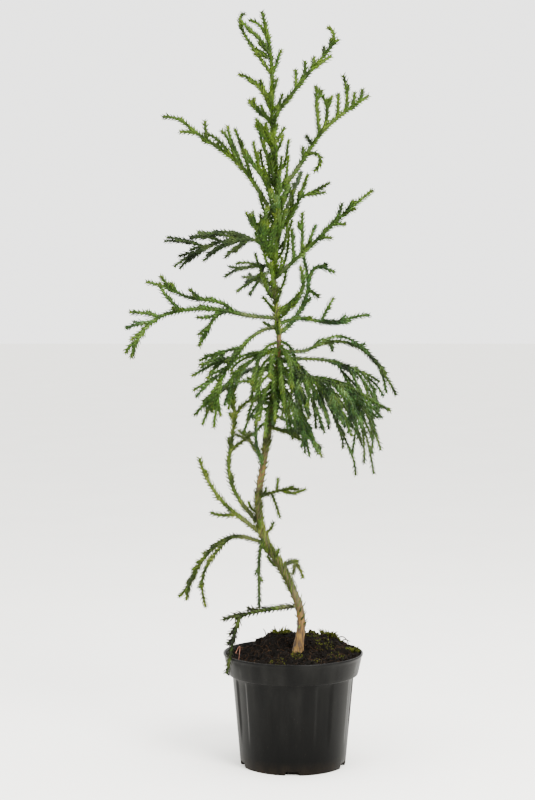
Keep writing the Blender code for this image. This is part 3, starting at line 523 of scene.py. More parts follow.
# Branches: name, height on the trunk, heading, rises, length, length of the bare bough, side shoots.
# A side shoot: place from 0 to 1 along its parent, heading, rises, length, its own side shoots.
BRANCHES = (
    ("leader", 0.900, 180, (90, 84, 78, 75), 0.091, 0,
     (0.10, 176, (52, 53, 54, 55, 55, 55, 56, 57, 60, 66, 80, 110, 175), 0.095),
     (0.12, -10, (50, 77, 63), 0.032), (0.43, 190, (50, 42, 45), 0.058),
     (0.58, 165, (75, 50, 10), 0.040)),
    ("top_left_high", 0.865, 186, (70, 60, 38, 8), 0.064, 0, (0.50, 200, (35, 25), 0.018)),
    ("top_left_mid", 0.848, 165, (40, 45, 48), 0.042, 0, (0.45, 185, (30, 100), 0.022)),
    ("top_left_low", 0.812, 212, (55, 58, 56), 0.046, 0, (0.40, 180, (30, 60, 90), 0.024)),
    ("upper_right", 0.850, 8,
     (66, 59, 52, 51, 50, 51, 52, 50, 48, 48, 50, 56, 72, 110, 170), 0.153, 0,
     (0.33, 100, (88, 72), 0.026), (0.45, -60, (85, 88), 0.022), (0.56, 50, (80, 80), 0.016),
     (0.57, -5, (28, 38), 0.028), (0.70, 60, (80, 85), 0.013), (0.80, -40, (80, 90), 0.011)),
    ("right_upper", 0.756, 22, (43, 54, 58, 42, 34, 34), 0.188, 0.049, (0.31, 130, (80, 85), 0.016),
     (0.34, -20, (32, -20, -110, -145), 0.044), (0.43, 190, (50, 60), 0.015),
     (0.52, 170, (82, 86, 88), 0.062, (0.72, 0, (62, 62), 0.016)),
     (0.57, -30, (72, 84, 125, 130), 0.064, (0.45, 10, (60, 75), 0.018)), (0.71, 80, (85, 86), 0.032),
     (0.78, -10, (75, 95, 108), 0.049), (0.85, 60, (70, 80), 0.020), (0.91, -50, (60, 75), 0.018)),
    ("right_inner", 0.713, -14, (18, 62, 72, 66), 0.080, 0, (0.60, 5, (20, 32), 0.044)),
    ("left_upper", 0.722, 164, (61, 58, 52, 36, 33, 41, -6), 0.214, 0.050,
     (0.28, 160, (76, 70, 68), 0.072), (0.37, 205, (66, 64, 78), 0.060),
     (0.44, 160, (80, 67, 40), 0.046), (0.47, 192, (62, 45, 15), 0.048), (0.67, 140, (84, 84), 0.025),
     (0.75, 188, (5, 0), 0.022)),
    ("left_inner", 0.748, 192, (50, 68, 73, 82), 0.080, 0, (0.62, 110, (80, 60), 0.018)),
    ("left_back", 0.683, 148, (30, 10, -4, -16, -28), 0.130, 0.028,
     *fan(4, 0.26, 0.85, 158, 20, (22, 8, -4), 0.062, 3),
     *fan(4, 0.30, 0.92, 176, 24, (-22, -32, -40), 0.056, 4)),
    ("left_back_low", 0.660, 162, (2, -6, -12, -42), 0.070, 0,
     (0.16, 192, (-70, -44, -30, -38), 0.052), (0.50, 145, (-4, 10), 0.030)),
    ("right_mid", 0.645, -30, (40, 36, 40, 40, 36, 32), 0.178, 0.026, (0.19, 170, (84, 88), 0.042),
     (0.27, 60, (86, 94), 0.054), (0.34, 10, (82, 62), 0.032), (0.44, -50, (12, -10), 0.026),
     (0.60, -45, (5, -10), 0.022), (0.62, 15, (62, 74), 0.027), (0.74, -10, (52, 64), 0.017)),
    ("front_high", 0.690, -82, (50, 70, 82), 0.080, 0,
     *fan(5, 0.22, 0.90, -85, 105, (48, 66, 78), 0.034, 21)),
    ("front_mid", 0.664, -118, (35, 60, 78), 0.074, 0,
     *fan(4, 0.25, 0.85, -125, 90, (30, 52, 70), 0.034, 23)),
    ("arc_inner", 0.597, -16, (24, 40, 64, 96, 124, 132), 0.100, 0),
    ("arc_outer", 0.573, 26, (30, 48, 58, 72, 100, 106, 86), 0.128, 0,
     (0.62, -25, (80, 55, -25, -20), 0.052), (0.55, -40, (-20, -40), 0.022)),
    ("right_thin", 0.584, -8, (22, 10, -12, -8, 16, 14, 0), 0.120, 0, (0.42, -6, (-10, -4, 4), 0.040),
     (0.46, 35, (62, 52), 0.037)),
    ("left_long", 0.592, 194, (0, 8, 13, 4, -4, -14, -36, -62, -76), 0.222, 0.050,
     (0.25, 177, (54, 20, 2, 14, 32, 14, 11), 0.124,
      (0.38, 165, (40, 36), 0.022), (0.74, 185, (56, 50), 0.021)),
     (0.29, 205, (-20, -16, 10), 0.044),
     (0.33, 190, (-48, -62, -62), 0.056, (0.45, 205, (-38, -34), 0.020)),
     (0.57, 172, (42, 46, 72), 0.046), (0.70, 165, (22, 6, 2), 0.042), (0.75, 205, (-8, -16), 0.038),
     (0.82, 190, (-35, -42), 0.022), (0.90, 175, (-20, -70), 0.022)),
    ("left_droop", 0.580, 206, (-5, -24, -44, -54, -52, -50), 0.112, 0.030,
     (0.29, 188, (10, 2, -3, 0), 0.080), (0.50, 170, (-6, -20, -34, -44), 0.064),
     (0.66, 180, (-8, -18, -32, -26), 0.062), (0.74, 205, (-42, -36, -48), 0.066),
     (0.86, 190, (-58, -56, -45), 0.070), (0.90, 165, (-66, -66), 0.072),
     (0.94, 215, (-78, -80), 0.066)),
    ("left_droop_low", 0.549, 172, (-17, -24, -34, -50, -78), 0.088, 0,
     (0.62, 150, (-70, -84), 0.046), (0.78, 200, (-80, -86), 0.044), (0.66, 250, (-75, -84), 0.034)),
    ("left_small", 0.478, 184, (10, 68, 60, 8, -22), 0.058, 0, (0.38, 140, (72, 80), 0.017)),
    ("tall_arc", 0.322, 162, (52, 48, 60, 80, 98, 100, 92, 88, 92), 0.194, 0.030,
     (0.55, 10, (38, 30), 0.040), (0.76, 192, (58, 50), 0.028), (0.76, -10, (68, 56, 34, 20), 0.045)),
    ("bare_arc", 0.309, 212, (42, 34, 40, 50, 60, 76), 0.140, 0.035, (0.32, 185, (-12, 18), 0.034)),
    ("left_low", 0.297, 166, (12, 16, -2, -26, -42, -50, -58, -62, -60, -40), 0.156, 0.030,
     (0.22, 200, (22, 0), 0.030), (0.30, 208, (-40, -46, -52, -76, -100, -106), 0.105),
     (0.78, 150, (-62, -84), 0.034), (0.66, 195, (-62, -56, -88), 0.040)),
    ("hanging_twig", 0.300, 236, (-55, -88, -92, -93), 0.092, 0),
    ("lowest", 0.213, 202, (0, -4, -8, -14), 0.086, 0.025, (0.80, 184, (-2, -26), 0.032),
     (0.90, 200, (-66, -76, -80, -76), 0.078)),
    ("right_small_low", 0.357, -8, (22, 15, 12, -15), 0.050, 0, (0.25, -50, (-55, -66), 0.036),
     (0.55, -25, (-30, 10, 30), 0.036), (0.40, 30, (80, 85), 0.018)),
    ("right_small_high", 0.448, -16, (-20, -14, -4, 4), 0.052, 0, (0.20, 14, (-4, 8), 0.032),
     (0.45, -40, (-30, -10), 0.026)),
    ("right_arch", 0.548, -20, (0, -2, 27, 13, -4, -25, -44, -52, -56, -66), 0.190, 0.040,
     (0.25, 10, (74, 20, -60, -80), 0.038), (0.66, -30, (-36, -50), 0.036),
     (0.78, 5, (-66, -84), 0.034)),
    ("right_second", 0.536, 25, (10, -2, -3, -12, -21, -21, -34), 0.154, 0.030,
     (0.55, 30, (-60, -58, -80), 0.074), (0.66, -20, (-66, -58, -70, -90), 0.086),
     (0.72, 0, (-46, -70, -82, -86, -100), 0.116), (0.78, 20, (-42, -62, -86), 0.064)),
    ("right_third", 0.524, -46, (5, -14, -11, -11, -6), 0.120, 0,
     *fan(8, 0.22, 0.92, -22, 38, (-44, -58, -68), 0.068, 11)),
    ("right_low", 0.503, 4, (22, 14, -4, -22, -30, -32, -26), 0.162, 0.025,
     (0.32, 26, (-56, -64, -64, -62, -66, -90), 0.146), (0.48, -8, (-36, -62, -70, -78, -82), 0.136),
     *fan(6, 0.20, 0.64, 0, 36, (-54, -62, -72), 0.084, 5)),
    ("right_near", 0.492, -48, (0, -36, -56, -66), 0.085, 0,
     *fan(7, 0.18, 0.88, -30, 50, (-44, -60, -64), 0.058, 7)),
    ("back_high", 0.785, 96, (50, 58, 68), 0.085, 0, (0.45, 130, (50, 66), 0.030),
     (0.60, 60, (55, 66), 0.026)),
    ("back_upper", 0.700, 72, (42, 38, 44), 0.140, 0, (0.40, 45, (60, 70), 0.040),
     (0.60, 105, (50, 66), 0.036), (0.75, 60, (40, 60), 0.026)),
    ("back_mid", 0.618, 104, (24, 16, 6, -10), 0.150, 0.030, (0.45, 130, (20, 0), 0.045),
     (0.55, 75, (25, 5), 0.045), (0.75, 115, (0, -30), 0.035)),
    ("back_right", 0.530, 80, (10, 2, -16, -38), 0.140, 0,
     *fan(4, 0.35, 0.85, 45, 40, (-6, -40, -66), 0.050, 13)),
    ("back_droop", 0.512, 70, (12, -8, -36, -62, -74), 0.140, 0.030,
     *fan(5, 0.30, 0.85, 62, 42, (-40, -62, -76), 0.062, 9)),
    ("back_left", 0.520, 126, (10, -2, -22, -46), 0.130, 0,
     *fan(4, 0.35, 0.85, 135, 36, (-30, -58, -70), 0.048, 15)),
    ("back_low", 0.400, 112, (36, 24, 6), 0.095, 0, (0.55, 140, (20, 10), 0.035),
     (0.65, 85, (20, 0), 0.030)),
    ("back_foot", 0.262, 66, (12, 0, -36, -60), 0.080, 0, (0.55, 95, (-20, -50), 0.035)),
)


def unit(vector):
    """The vector made one long."""
    return vector / np.linalg.norm(vector)


def level_direction(turn):
    """The level direction at a turn in radians: 0 is the right, a quarter turn the back."""
    return np.array([math.cos(turn), math.sin(turn), 0.0])


def circle(count):
    """Even turns round a full circle, in radians."""
    return np.arange(count) * 2 * math.pi / count


def held(value):
    """A number held between 0 and 1."""
    return min(max(value, 0.0), 1.0)


def course(start, heading, rises, length, step):
    """Points of a shoot that starts at `start` and climbs by its rises."""
    count = max(2, round(length / step))
    shares = (np.arange(count) + 0.5) / count
    climb = np.radians(np.interp(shares, np.linspace(0, 1, len(rises)), rises))
    turn = math.radians(heading)
    level = np.cos(climb)
    steps = np.stack([level * math.cos(turn), level * math.sin(turn), np.sin(climb)], axis=1)
    return np.vstack([start, start + np.cumsum(steps, axis=0) * (length / count)])


def point_along(points, share):
    """The point at a share from 0 to 1 of a line of evenly spaced points."""
    place = held(share) * (len(points) - 1)
    i = min(int(place), len(points) - 2)
    return points[i] + (points[i + 1] - points[i]) * (place - i)


def direction_at(points, share):
    """The unit direction of a line at a share of its length."""
    i = min(int(share * (len(points) - 1)), len(points) - 2)
    return unit(points[i + 1] - points[i])


def trunk_centre_line(step):
    """The trunk's centre line, a smooth curve through TRUNK_LINE."""
    knots = np.array(TRUNK_LINE)
    levels = knots[:, 0]
    slopes = np.gradient(knots[:, 1:], levels, axis=0)
    count = round((levels[-1] - levels[0]) / step)
    line = []
    for level in np.linspace(levels[0], levels[-1], count + 1):
        i = min(int(np.searchsorted(levels, level, side="right")) - 1, len(levels) - 2)
        span = levels[i + 1] - levels[i]
        t = (level - levels[i]) / span
        place = ((2 * t**3 - 3 * t**2 + 1) * knots[i, 1:] + (t**3 - 2 * t**2 + t) * span * slopes[i]
                 + (3 * t**2 - 2 * t**3) * knots[i + 1, 1:] + (t**3 - t**2) * span * slopes[i + 1])
        line.append([place[0], place[1], level])
    return np.array(line)


def trunk_radius(level):
    """The trunk's radius at a height, with its flare at the soil."""
    foot, top = TRUNK_LINE[0][0], TRUNK_LINE[-1][0]
    share = (level - foot) / (top - foot)
    flare = TRUNK_FLARE * math.exp(-(level - foot) / TRUNK_FLARE_HEIGHT)
    return TRUNK_FOOT_RADIUS + (TRUNK_TOP_RADIUS - TRUNK_FOOT_RADIUS) * share + flare


def trunk_point(line, level):
    """The point of the trunk's centre line at a height, and the line's direction there."""
    i = min(max(int(np.searchsorted(line[:, 2], level)) - 1, 0), len(line) - 2)
    step = line[i + 1] - line[i]
    share = (level - line[i, 2]) / step[2]
    return line[i] + step * share, unit(step)


def branch_foot(line, level, heading):
    """Where a branch leaves the trunk's bark."""
    centre, axis = trunk_point(line, level)
    out = level_direction(math.radians(heading))
    out = unit(out - axis * float(out @ axis))
    return centre + out * (trunk_radius(level) + CLEARANCE)


def line_length(line):
    """The length of a line along its points."""
    return float(np.linalg.norm(np.diff(line, axis=0), axis=1).sum())


def nearest(points, others):
    """For each point, the distance to the nearest of the others, or FAR_AWAY where there are none."""
    if len(others) == 0:
        return np.full(len(points), FAR_AWAY)
    return np.linalg.norm(points[:, None, :] - others[None, :, :], axis=2).min(axis=1)


class Space:
    """The room that limbs and masses have taken, as points with an owner."""

    def __init__(self):
        self.points = np.zeros((0, 3))
        self.owners = np.zeros(0, dtype=int)
        self.numbers = {}

    def take(self, owner, points):
        """Note the points of a line as taken by an owner."""
        number = self.numbers.setdefault(owner, len(self.numbers))
        self.points = np.vstack([self.points, points])
        self.owners = np.append(self.owners, np.full(len(points), number))

    def nearest_other(self, points, left_out):
        """For each point, the distance to the nearest point taken by anyone but one owner."""
        return nearest(points, self.points[self.owners != self.numbers.get(left_out, -1)])

    def nearest_own(self, owner, points, beyond):
        """The distance of points to their owner's lines, leaving out those close to `beyond`."""
        own = self.points[self.owners == self.numbers[owner]]
        return nearest(points, own[np.linalg.norm(own - beyond, axis=1) > TWIG_OWN_REACH])


def cut_short(space, left_out, points, free):
    """A line cut short before it comes too near others' lines, past its first `free` points."""
    gaps = space.nearest_other(points, left_out)
    blocked = np.nonzero(gaps[free:] < SPACE_GAP)[0]
    return points[:blocked[0] + free] if len(blocked) else points


def fit_in_space(space, owner, points):
    """A side shoot cut short where it must be, or None if too little of it is left."""
    kept = cut_short(space, owner, points, 1)
    enough = len(kept) > 2 and line_length(kept) > TWIG_SHORTEST
    return kept if enough or len(kept) == len(points) else None


def grow_forks(space, owner, parent, forks, lines):
    """Add a shoot's side shoots and theirs, each within the mass's own space."""
    for place, heading, rises, length, *further in forks:
        line = course(point_along(parent, place), heading, rises, length, FINE_STEP)
        line = fit_in_space(space, owner, line)
        if line is not None:
            space.take(owner, line)
            lines.append(line)
            grow_forks(space, owner, line, further, lines)


def twig_roll(number, chance):
    """How far round its shoot a twig stands, in radians."""
    return math.radians(number * GOLDEN_TURN + chance.uniform(-TWIG_ROLL_CHANCE, TWIG_ROLL_CHANCE))


def twig_line(line, share, roll, size, splay, bends):
    """A short twig that leaves its shoot at a slant and then bends along it and up."""
    ahead = direction_at(line, share)
    side = np.cross(ahead, UP)
    side /= max(np.linalg.norm(side), TINY)
    out = side * math.cos(roll) + np.cross(side, ahead) * math.sin(roll)
    slant = math.radians(splay)
    start = ahead * math.cos(slant) + out * math.sin(slant)
    points = [point_along(line, share)]
    for bend in bends:
        step = unit(start + (ahead + UP / 2) * TWIG_LIFT * bend)
        points.append(points[-1] + step * size / len(bends))
    return np.array(points)


def grow_twigs(space, owner, lines, seed):
    """Add short twigs along every shoot of a mass by a seeded rule."""
    chance = random.Random(seed)
    twigs = []
    for line in lines:
        count = int(line_length(line) / TWIG_PITCH)
        for i in range(count):
            share = (i + chance.uniform(*TWIG_PLACES)) / (count + TWIG_END)
            roll = twig_roll(i, chance)
            size = TWIG_LENGTH * chance.uniform(*TWIG_SIZES) * (1 - TWIG_TIP_LOSS * share)
            twig = twig_line(line, share, roll, size, TWIG_SPLAY, TWIG_BENDS)
            clear = space.nearest_other(twig[1:], owner).min() > SPACE_GAP
            roomy = space.nearest_own(owner, twig[2:], twig[0]).min() > TWIG_OWN_GAP
            if clear and roomy:
                space.take(owner, twig)
                twigs.append(twig)
    return twigs


def grow_plant():
    """Every branch by name, with its bough line, its spray lines and its twigs."""
    trunk = trunk_centre_line(TRUNK_STEP)
    space = Space()
    space.take("trunk", trunk_centre_line(FINE_STEP))
    plant = {}
    for name, level, heading, rises, length, bare, *forks in BRANCHES:
        if name == "leader":
            top, out = trunk_point(trunk, trunk[-1, 2])
            foot = top + out * CLEARANCE
        else:
            foot = branch_foot(trunk, level, heading)
        line = course(foot, heading, rises, length, FINE_STEP)
        line = cut_short(space, "trunk", line, round(STEM_FOOT / FINE_STEP))
        first = round(bare / FINE_STEP)
        stem = line[first:].copy()
        bough = None
        if first:
            bough = line[:first + 1]
            stem[0] += direction_at(line, first / (len(line) - 1)) * CLEARANCE
            space.take(name + "_bough", bough)
        space.take(name, stem)
        plant[name] = {"forks": forks, "bough": bough, "line": line, "lines": [stem]}
    for name, part in plant.items():
        grow_forks(space, name, part["line"], part["forks"], part["lines"])
    for seed, (name, part) in enumerate(plant.items()):
        part["twigs"] = grow_twigs(space, name, part["lines"], seed)
    return plant


def lengths_along(points):
    """The length of a line up to each of its points."""
    return np.append(0.0, np.cumsum(np.linalg.norm(np.diff(points, axis=0), axis=1)))


def lerp_rows(places, lengths, rows):
    """Rows of three numbers read between the points of a line."""
    return np.stack([np.interp(places, lengths, rows[:, axis]) for axis in range(3)], axis=1)


def resample(points, step):
    """The same line with about even steps of a given length."""
    lengths = lengths_along(points)
    count = max(2, round(lengths[-1] / step))
    return lerp_rows(np.linspace(0, lengths[-1], count + 1), lengths, points)


def frames(points):
    """Unit direction and two cross directions at each point, turning as little as possible."""
    steps = np.diff(points, axis=0)
    ahead = np.vstack([steps[:1], steps[:-1] + steps[1:], steps[-1:]])
    ahead /= np.linalg.norm(ahead, axis=1)[:, None]
    across = np.cross(ahead[0], UP if abs(ahead[0][2]) < NEARLY_UPRIGHT else SIDEWAYS)
    result = []
    for direction in ahead:
        across = unit(across - direction * float(across @ direction))
        result.append((direction, across, np.cross(direction, across)))
    return result


def pot_inner_radius(level):
    """The radius of the pot's inner wall at a height."""
    band_foot = POT_HEIGHT - POT_BAND_HEIGHT
    levels = (POT_WALL, band_foot - POT_WALL, band_foot + POT_WALL, POT_HEIGHT)
    radii = (POT_BASE_RADIUS - POT_WALL, POT_SHOULDER_RADIUS - POT_WALL,
             POT_SHOULDER_RADIUS + POT_BAND_STEP - POT_WALL, POT_RIM_RADIUS - POT_WALL)
    return float(np.interp(level, levels, radii))


def soil_height(x, y):
    """The soil's height: a low, lumpy mound behind the trunk, and level round the trunk's foot."""
    across = (x - SOIL_MOUND_PLACE[0]) / SOIL_MOUND_WIDTH
    deep = (y - SOIL_MOUND_PLACE[1]) / SOIL_MOUND_DEPTH
    mound = SOIL_MOUND_HEIGHT * math.exp(-across**2 - deep**2)
    mound *= 1 - SOIL_RIM_FALL * (math.hypot(x, y) / POT_RIM_RADIUS) ** SOIL_RIM_POWER
    lumps = math.sin(x * SOIL_LUMP_WAVES[0]) * math.cos(y * SOIL_LUMP_WAVES[1])
    lumps += math.sin(x * SOIL_CRUMB_WAVES[0] + y * SOIL_CRUMB_WAVES[1]) / 2
    level = POT_HEIGHT - SOIL_EDGE_DROP + mound + lumps * SOIL_LUMP
    foot = math.hypot(x - TRUNK_LINE[0][1], y - TRUNK_LINE[0][2])
    blend = held((foot - SOIL_LEVEL_RADIUS) / SOIL_LEVEL_BLEND)
    return GROUND_LEVEL * (1 - blend) + level * blend


def finer_twigs(line, pitch, chance):
    """Short twigs along a shoot, by the same rule as the twigs of the solids, but finer."""
    twigs = []
    count = int(line_length(line) / pitch)
    for i in range(count):
        share = (i + chance.uniform(*FINE_PLACES)) / (count + FINE_END)
        size = FINE_LENGTH * chance.uniform(*FINE_SIZES) * (1 - TWIG_TIP_LOSS * share)
        twigs.append(twig_line(line, share, twig_roll(i, chance), size, FINE_SPLAY, FINE_BENDS))
    return twigs


def ropes_beside(lines, count, chance):
    """Ropes that hang beside the long shoots of a dense mass and follow their bend."""
    ropes = []
    for line in lines:
        if line_length(line) < ROPE_SHORTEST:
            continue
        for _ in range(count):
            first = round(chance.uniform(*ROPE_FEET) * (len(line) - 1))
            part = line[first:]
            if len(part) < ROPE_FEWEST_POINTS:
                continue
            along = unit(part[-1] - part[0])
            axis = unit(np.cross(along, [chance.gauss(0, 1) for _ in range(3)]))
            turn = math.radians(chance.uniform(*ROPE_TURN))
            size = chance.uniform(*ROPE_SIZES)
            ropes.append(part[0] + turned(part - part[0], axis, turn) * size)
    return ropes


def turned(points, axis, angle):
    """Points turned about an axis through the origin."""
    along = points @ axis
    return (points * math.cos(angle) + np.cross(axis, points) * math.sin(angle)
            + np.outer(along, axis) * (1 - math.cos(angle)))


class Block:
    """Corners and triangles of many small parts, which are joined into one piece."""

    def __init__(self):
        self.parts = []

    def add(self, corners, faces):
        """Add a part: its corners, and its triangles as rows of three corner numbers."""
        self.parts.append((corners, faces))

    def piece(self, name, look, slot):
        """Turn the block into one piece of the scene, on the plant's one body; its slot is not used.
        """
        starts = np.cumsum([0] + [len(corners) for corners, _ in self.parts])
        corners = np.vstack([corners for corners, _ in self.parts])
        faces = np.vstack([faces + start for (_, faces), start in zip(self.parts, starts)])
        mesh = bpy.data.meshes.new(name)
        mesh.from_pydata(corners, [], faces)
        mesh.shade_smooth()
        mesh.materials.append(look)
        piece = bpy.data.objects.new(name, mesh)
        bpy.context.scene.collection.objects.link(piece)
        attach(piece, "root")
        return piece


def add_stem(block, points, radii, sides):
    """A tapering stem as a tube of triangles, open at both ends."""
    rings = []
    angles = circle(sides)
    for point, radius, (_, across, over) in zip(points, radii, frames(points)):
        ring = np.outer(np.cos(angles), across) + np.outer(np.sin(angles), over)
        rings.append(point + ring * radius)
    block.add(np.vstack(rings), ring_faces(len(rings), sides))


def cap_faces(first, sides):
    """The triangles between a ring of corners and the centre, which is the corner after the ring."""
    ring = first + np.arange(sides)
    return np.stack([ring, np.roll(ring, -1), np.full(sides, first + sides)], axis=1)


def ring_faces(rings, sides):
    """The triangles between rings of corners that follow each other."""
    low = np.arange(rings - 1)[:, None] * sides
    k = np.arange(sides)[None, :]
    n = (k + 1) % sides
    first = np.stack([low + k, low + n, low + sides + n], axis=2).reshape(-1, 3)
    second = np.stack([low + k, low + sides + n, low + sides + k], axis=2).reshape(-1, 3)
    return np.vstack([first, second])


def add_needles(block, points, radii, size, pitch, chance, span=(0.0, 1.0)):
    """Needles along a shoot: each leaves it at a slant, winds round it and ends in a point."""
    lengths = lengths_along(points)
    places = np.arange(lengths[-1] * span[0], lengths[-1] * span[1], pitch)
    if len(places) == 0:
        return
    axes = frames(points)
    ahead = lerp_rows(places, lengths, np.array([a[0] for a in axes]))
    across = lerp_rows(places, lengths, np.array([a[1] for a in axes]))
    ahead /= np.linalg.norm(ahead, axis=1)[:, None]
    across -= ahead * (ahead * across).sum(axis=1)[:, None]
    across /= np.linalg.norm(across, axis=1)[:, None]
    over = np.cross(ahead, across)
    foot = lerp_rows(places, lengths, points)
    radius = np.interp(places, lengths, radii)
    number = np.round(places / pitch)
    rough = np.array([[chance.uniform(-1, 1) for _ in range(4)] for _ in places]) * NEEDLE_CHANCE
    rough_size, rough_turn, rough_wind, rough_stand = rough.T
    near_tip = np.clip((lengths[-1] - places) / TIP_LENGTH, 0, 1)
    grown = size * (1 + rough_size) * (TIP_SHARE + (1 - TIP_SHARE) * near_tip)
    turn = np.radians(number * GOLDEN_TURN) + rough_turn
    rows = []
    for station, stand in zip(NEEDLE_STATIONS, NEEDLE_STANDS):
        angle = turn + math.radians(NEEDLE_WIND) * station * (1 + rough_wind)
        out = across * np.cos(angle)[:, None] + over * np.sin(angle)[:, None]
        away = radius * NEEDLE_SEAT + NEEDLE_STAND * stand * grown * (1 + rough_stand)
        forward = NEEDLE_ADVANCE * station * grown
        rows.append((foot + out * away[:, None] + ahead * forward[:, None], out))
    corners = []
    for i, girth in enumerate(NEEDLE_GIRTHS):
        centre, out = rows[i]
        along = rows[i + 1][0] - centre
        side = np.cross(along, out)
        side /= np.linalg.norm(side, axis=1)[:, None]
        half = (NEEDLE_WIDTH / 2 * girth * grown)[:, None]
        keel = (NEEDLE_KEEL * girth * grown)[:, None]
        corners += [centre - side * half, centre + side * half, centre + out * keel]
    corners.append(rows[-1][0])
    corners = np.stack(corners, axis=1)
    per_needle = corners.shape[1]
    pattern = needle_faces(len(NEEDLE_GIRTHS))
    shift = np.arange(len(places))[:, None, None] * per_needle
    block.add(corners.reshape(-1, 3), (pattern[None, :, :] + shift).reshape(-1, 3))


def needle_faces(stations):
    """The triangles of one needle with three corners at each station and one at its point."""
    faces = ring_faces(stations, 3)
    last = (stations - 1) * 3
    end = stations * 3
    point = np.array([[last, last + 1, end], [last + 1, last + 2, end], [last + 2, last, end]])
    return np.vstack([faces, point])


def rope_look(look, chance):
    """The colour of one rope: that of its mass, or by chance another of the mass's colours."""
    draw = chance.random()
    for other, share in ROPE_LOOKS.get(look, ()):
        if draw < share:
            return other
        draw -= share
    return look


def grow_foliage(plant):
    """Every shoot with its needles, as blocks by colour, and the stems under them."""
    blocks = {name: Block() for name in NEEDLE_LOOKS}
    stems = Block()
    chance = random.Random(FOLIAGE_SEED)
    for name, part in plant.items():
        ropes = part["lines"] + part["twigs"]
        ropes += ropes_beside(part["lines"], ROPES_BESIDE.get(name, 0), chance)
        sizes = SIZE_OF_MASS.get(name, PLAIN_SIZE)
        fine_sizes = (sizes[0], sizes[1] * FINE_NEEDLES)
        pitch = FINE_PITCH_OF_LOOK.get(LOOK_OF_MASS[name], FINE_PITCH)
        for i, line in enumerate(ropes):
            radii = MAIN_RADII if i == 0 else SIDE_RADII
            look = rope_look(LOOK_OF_MASS[name], chance)
            block = blocks[look]
            tips = blocks["needles_tip"] if look in TIPPED_LOOKS else block
            add_rope(block, tips, stems, line, radii, sizes, chance)
            for twig in finer_twigs(line, pitch, chance):
                add_rope(block, tips, stems, twig, FINE_RADII, fine_sizes, chance)
    return blocks, stems


def grow_trunk_shoots(blocks, stems):
    """Short shoots that stand on the trunk itself, each with its needles."""
    chance = random.Random(TRUNK_SHOOT_SEED)
    trunk = trunk_centre_line(TRUNK_STEP)
    first, last = TRUNK_SHOOT_HEADINGS
    number = 0
    for low, high, count, rises, length, look in TRUNK_SHOOTS:
        for i in range(count):
            level = low + (high - low) * (i + chance.random()) / count
            heading = first + (last - first) * ((number * GOLDEN_SHARE) % 1)
            number += 1
            foot = branch_foot(trunk, level, heading)
            size = length * chance.uniform(*TRUNK_SHOOT_SIZES)
            uneven = [rise + chance.uniform(-RISE_CHANCE, RISE_CHANCE) for rise in rises]
            line = course(foot, heading, uneven, size, FINE_STEP)
            tips = blocks["needles_tip"] if look in TIPPED_LOOKS else blocks[look]
            add_rope(blocks[look], tips, stems, line, SIDE_RADII, PLAIN_SIZE, chance)
    for look, knots in TRUNK_ROPES:
        line = smooth_line(np.array(knots))
        add_rope(blocks[look], blocks["needles_tip"], stems, line, MAIN_RADII, PLAIN_SIZE, chance)


def add_rope(block, tips, stems, line, ends, sizes, chance):
    """One shoot: its stem, its needles, and the younger needles at its tip."""
    girth, size = sizes
    points = resample(line, ROPE_STEP)
    radii = np.linspace(ends[0] * girth, ends[1] * (1 + girth) / 2, len(points))
    add_stem(stems, points, radii, STEM_SIDES)
    young = min(TIP_LENGTH / line_length(points), TIP_LONGEST_SHARE)
    pitch = NEEDLE_PITCH * size * size / girth * (SIDE_RADII[0] / ends[0])
    add_needles(block, points, radii, size, pitch, chance, (0.0, 1 - young))
    add_needles(tips, points, radii, size, pitch * TIP_PITCH, chance, (1 - young, 1.0))


def add_limb(block, points, radii):
    """A limb with the relief of its bark: ridges that run along it, and lumps."""
    angles = circle(LIMB_SIDES)
    rings = []
    for i, (point, radius, (_, across, over)) in enumerate(zip(points, radii, frames(points))):
        for angle in angles:
            x, y = math.cos(angle), math.sin(angle)
            out = across * x + over * y
            place = Vector((x * RIDGE_WAVES, y * RIDGE_WAVES, i * LIMB_STEP * RIDGE_RISE_WAVES))
            lump = noise.noise(Vector(point + out * radius) * LUMP_WAVES)
            relief = 1 + BARK_RIDGES * noise.noise(place) + BARK_LUMPS * lump
            rings.append(point + out * radius * relief)
    sides = ring_faces(len(points), LIMB_SIDES)
    end = cap_faces(len(rings) - LIMB_SIDES, LIMB_SIDES)
    block.add(np.vstack([np.array(rings), points[-1:]]), np.vstack([sides, end]))


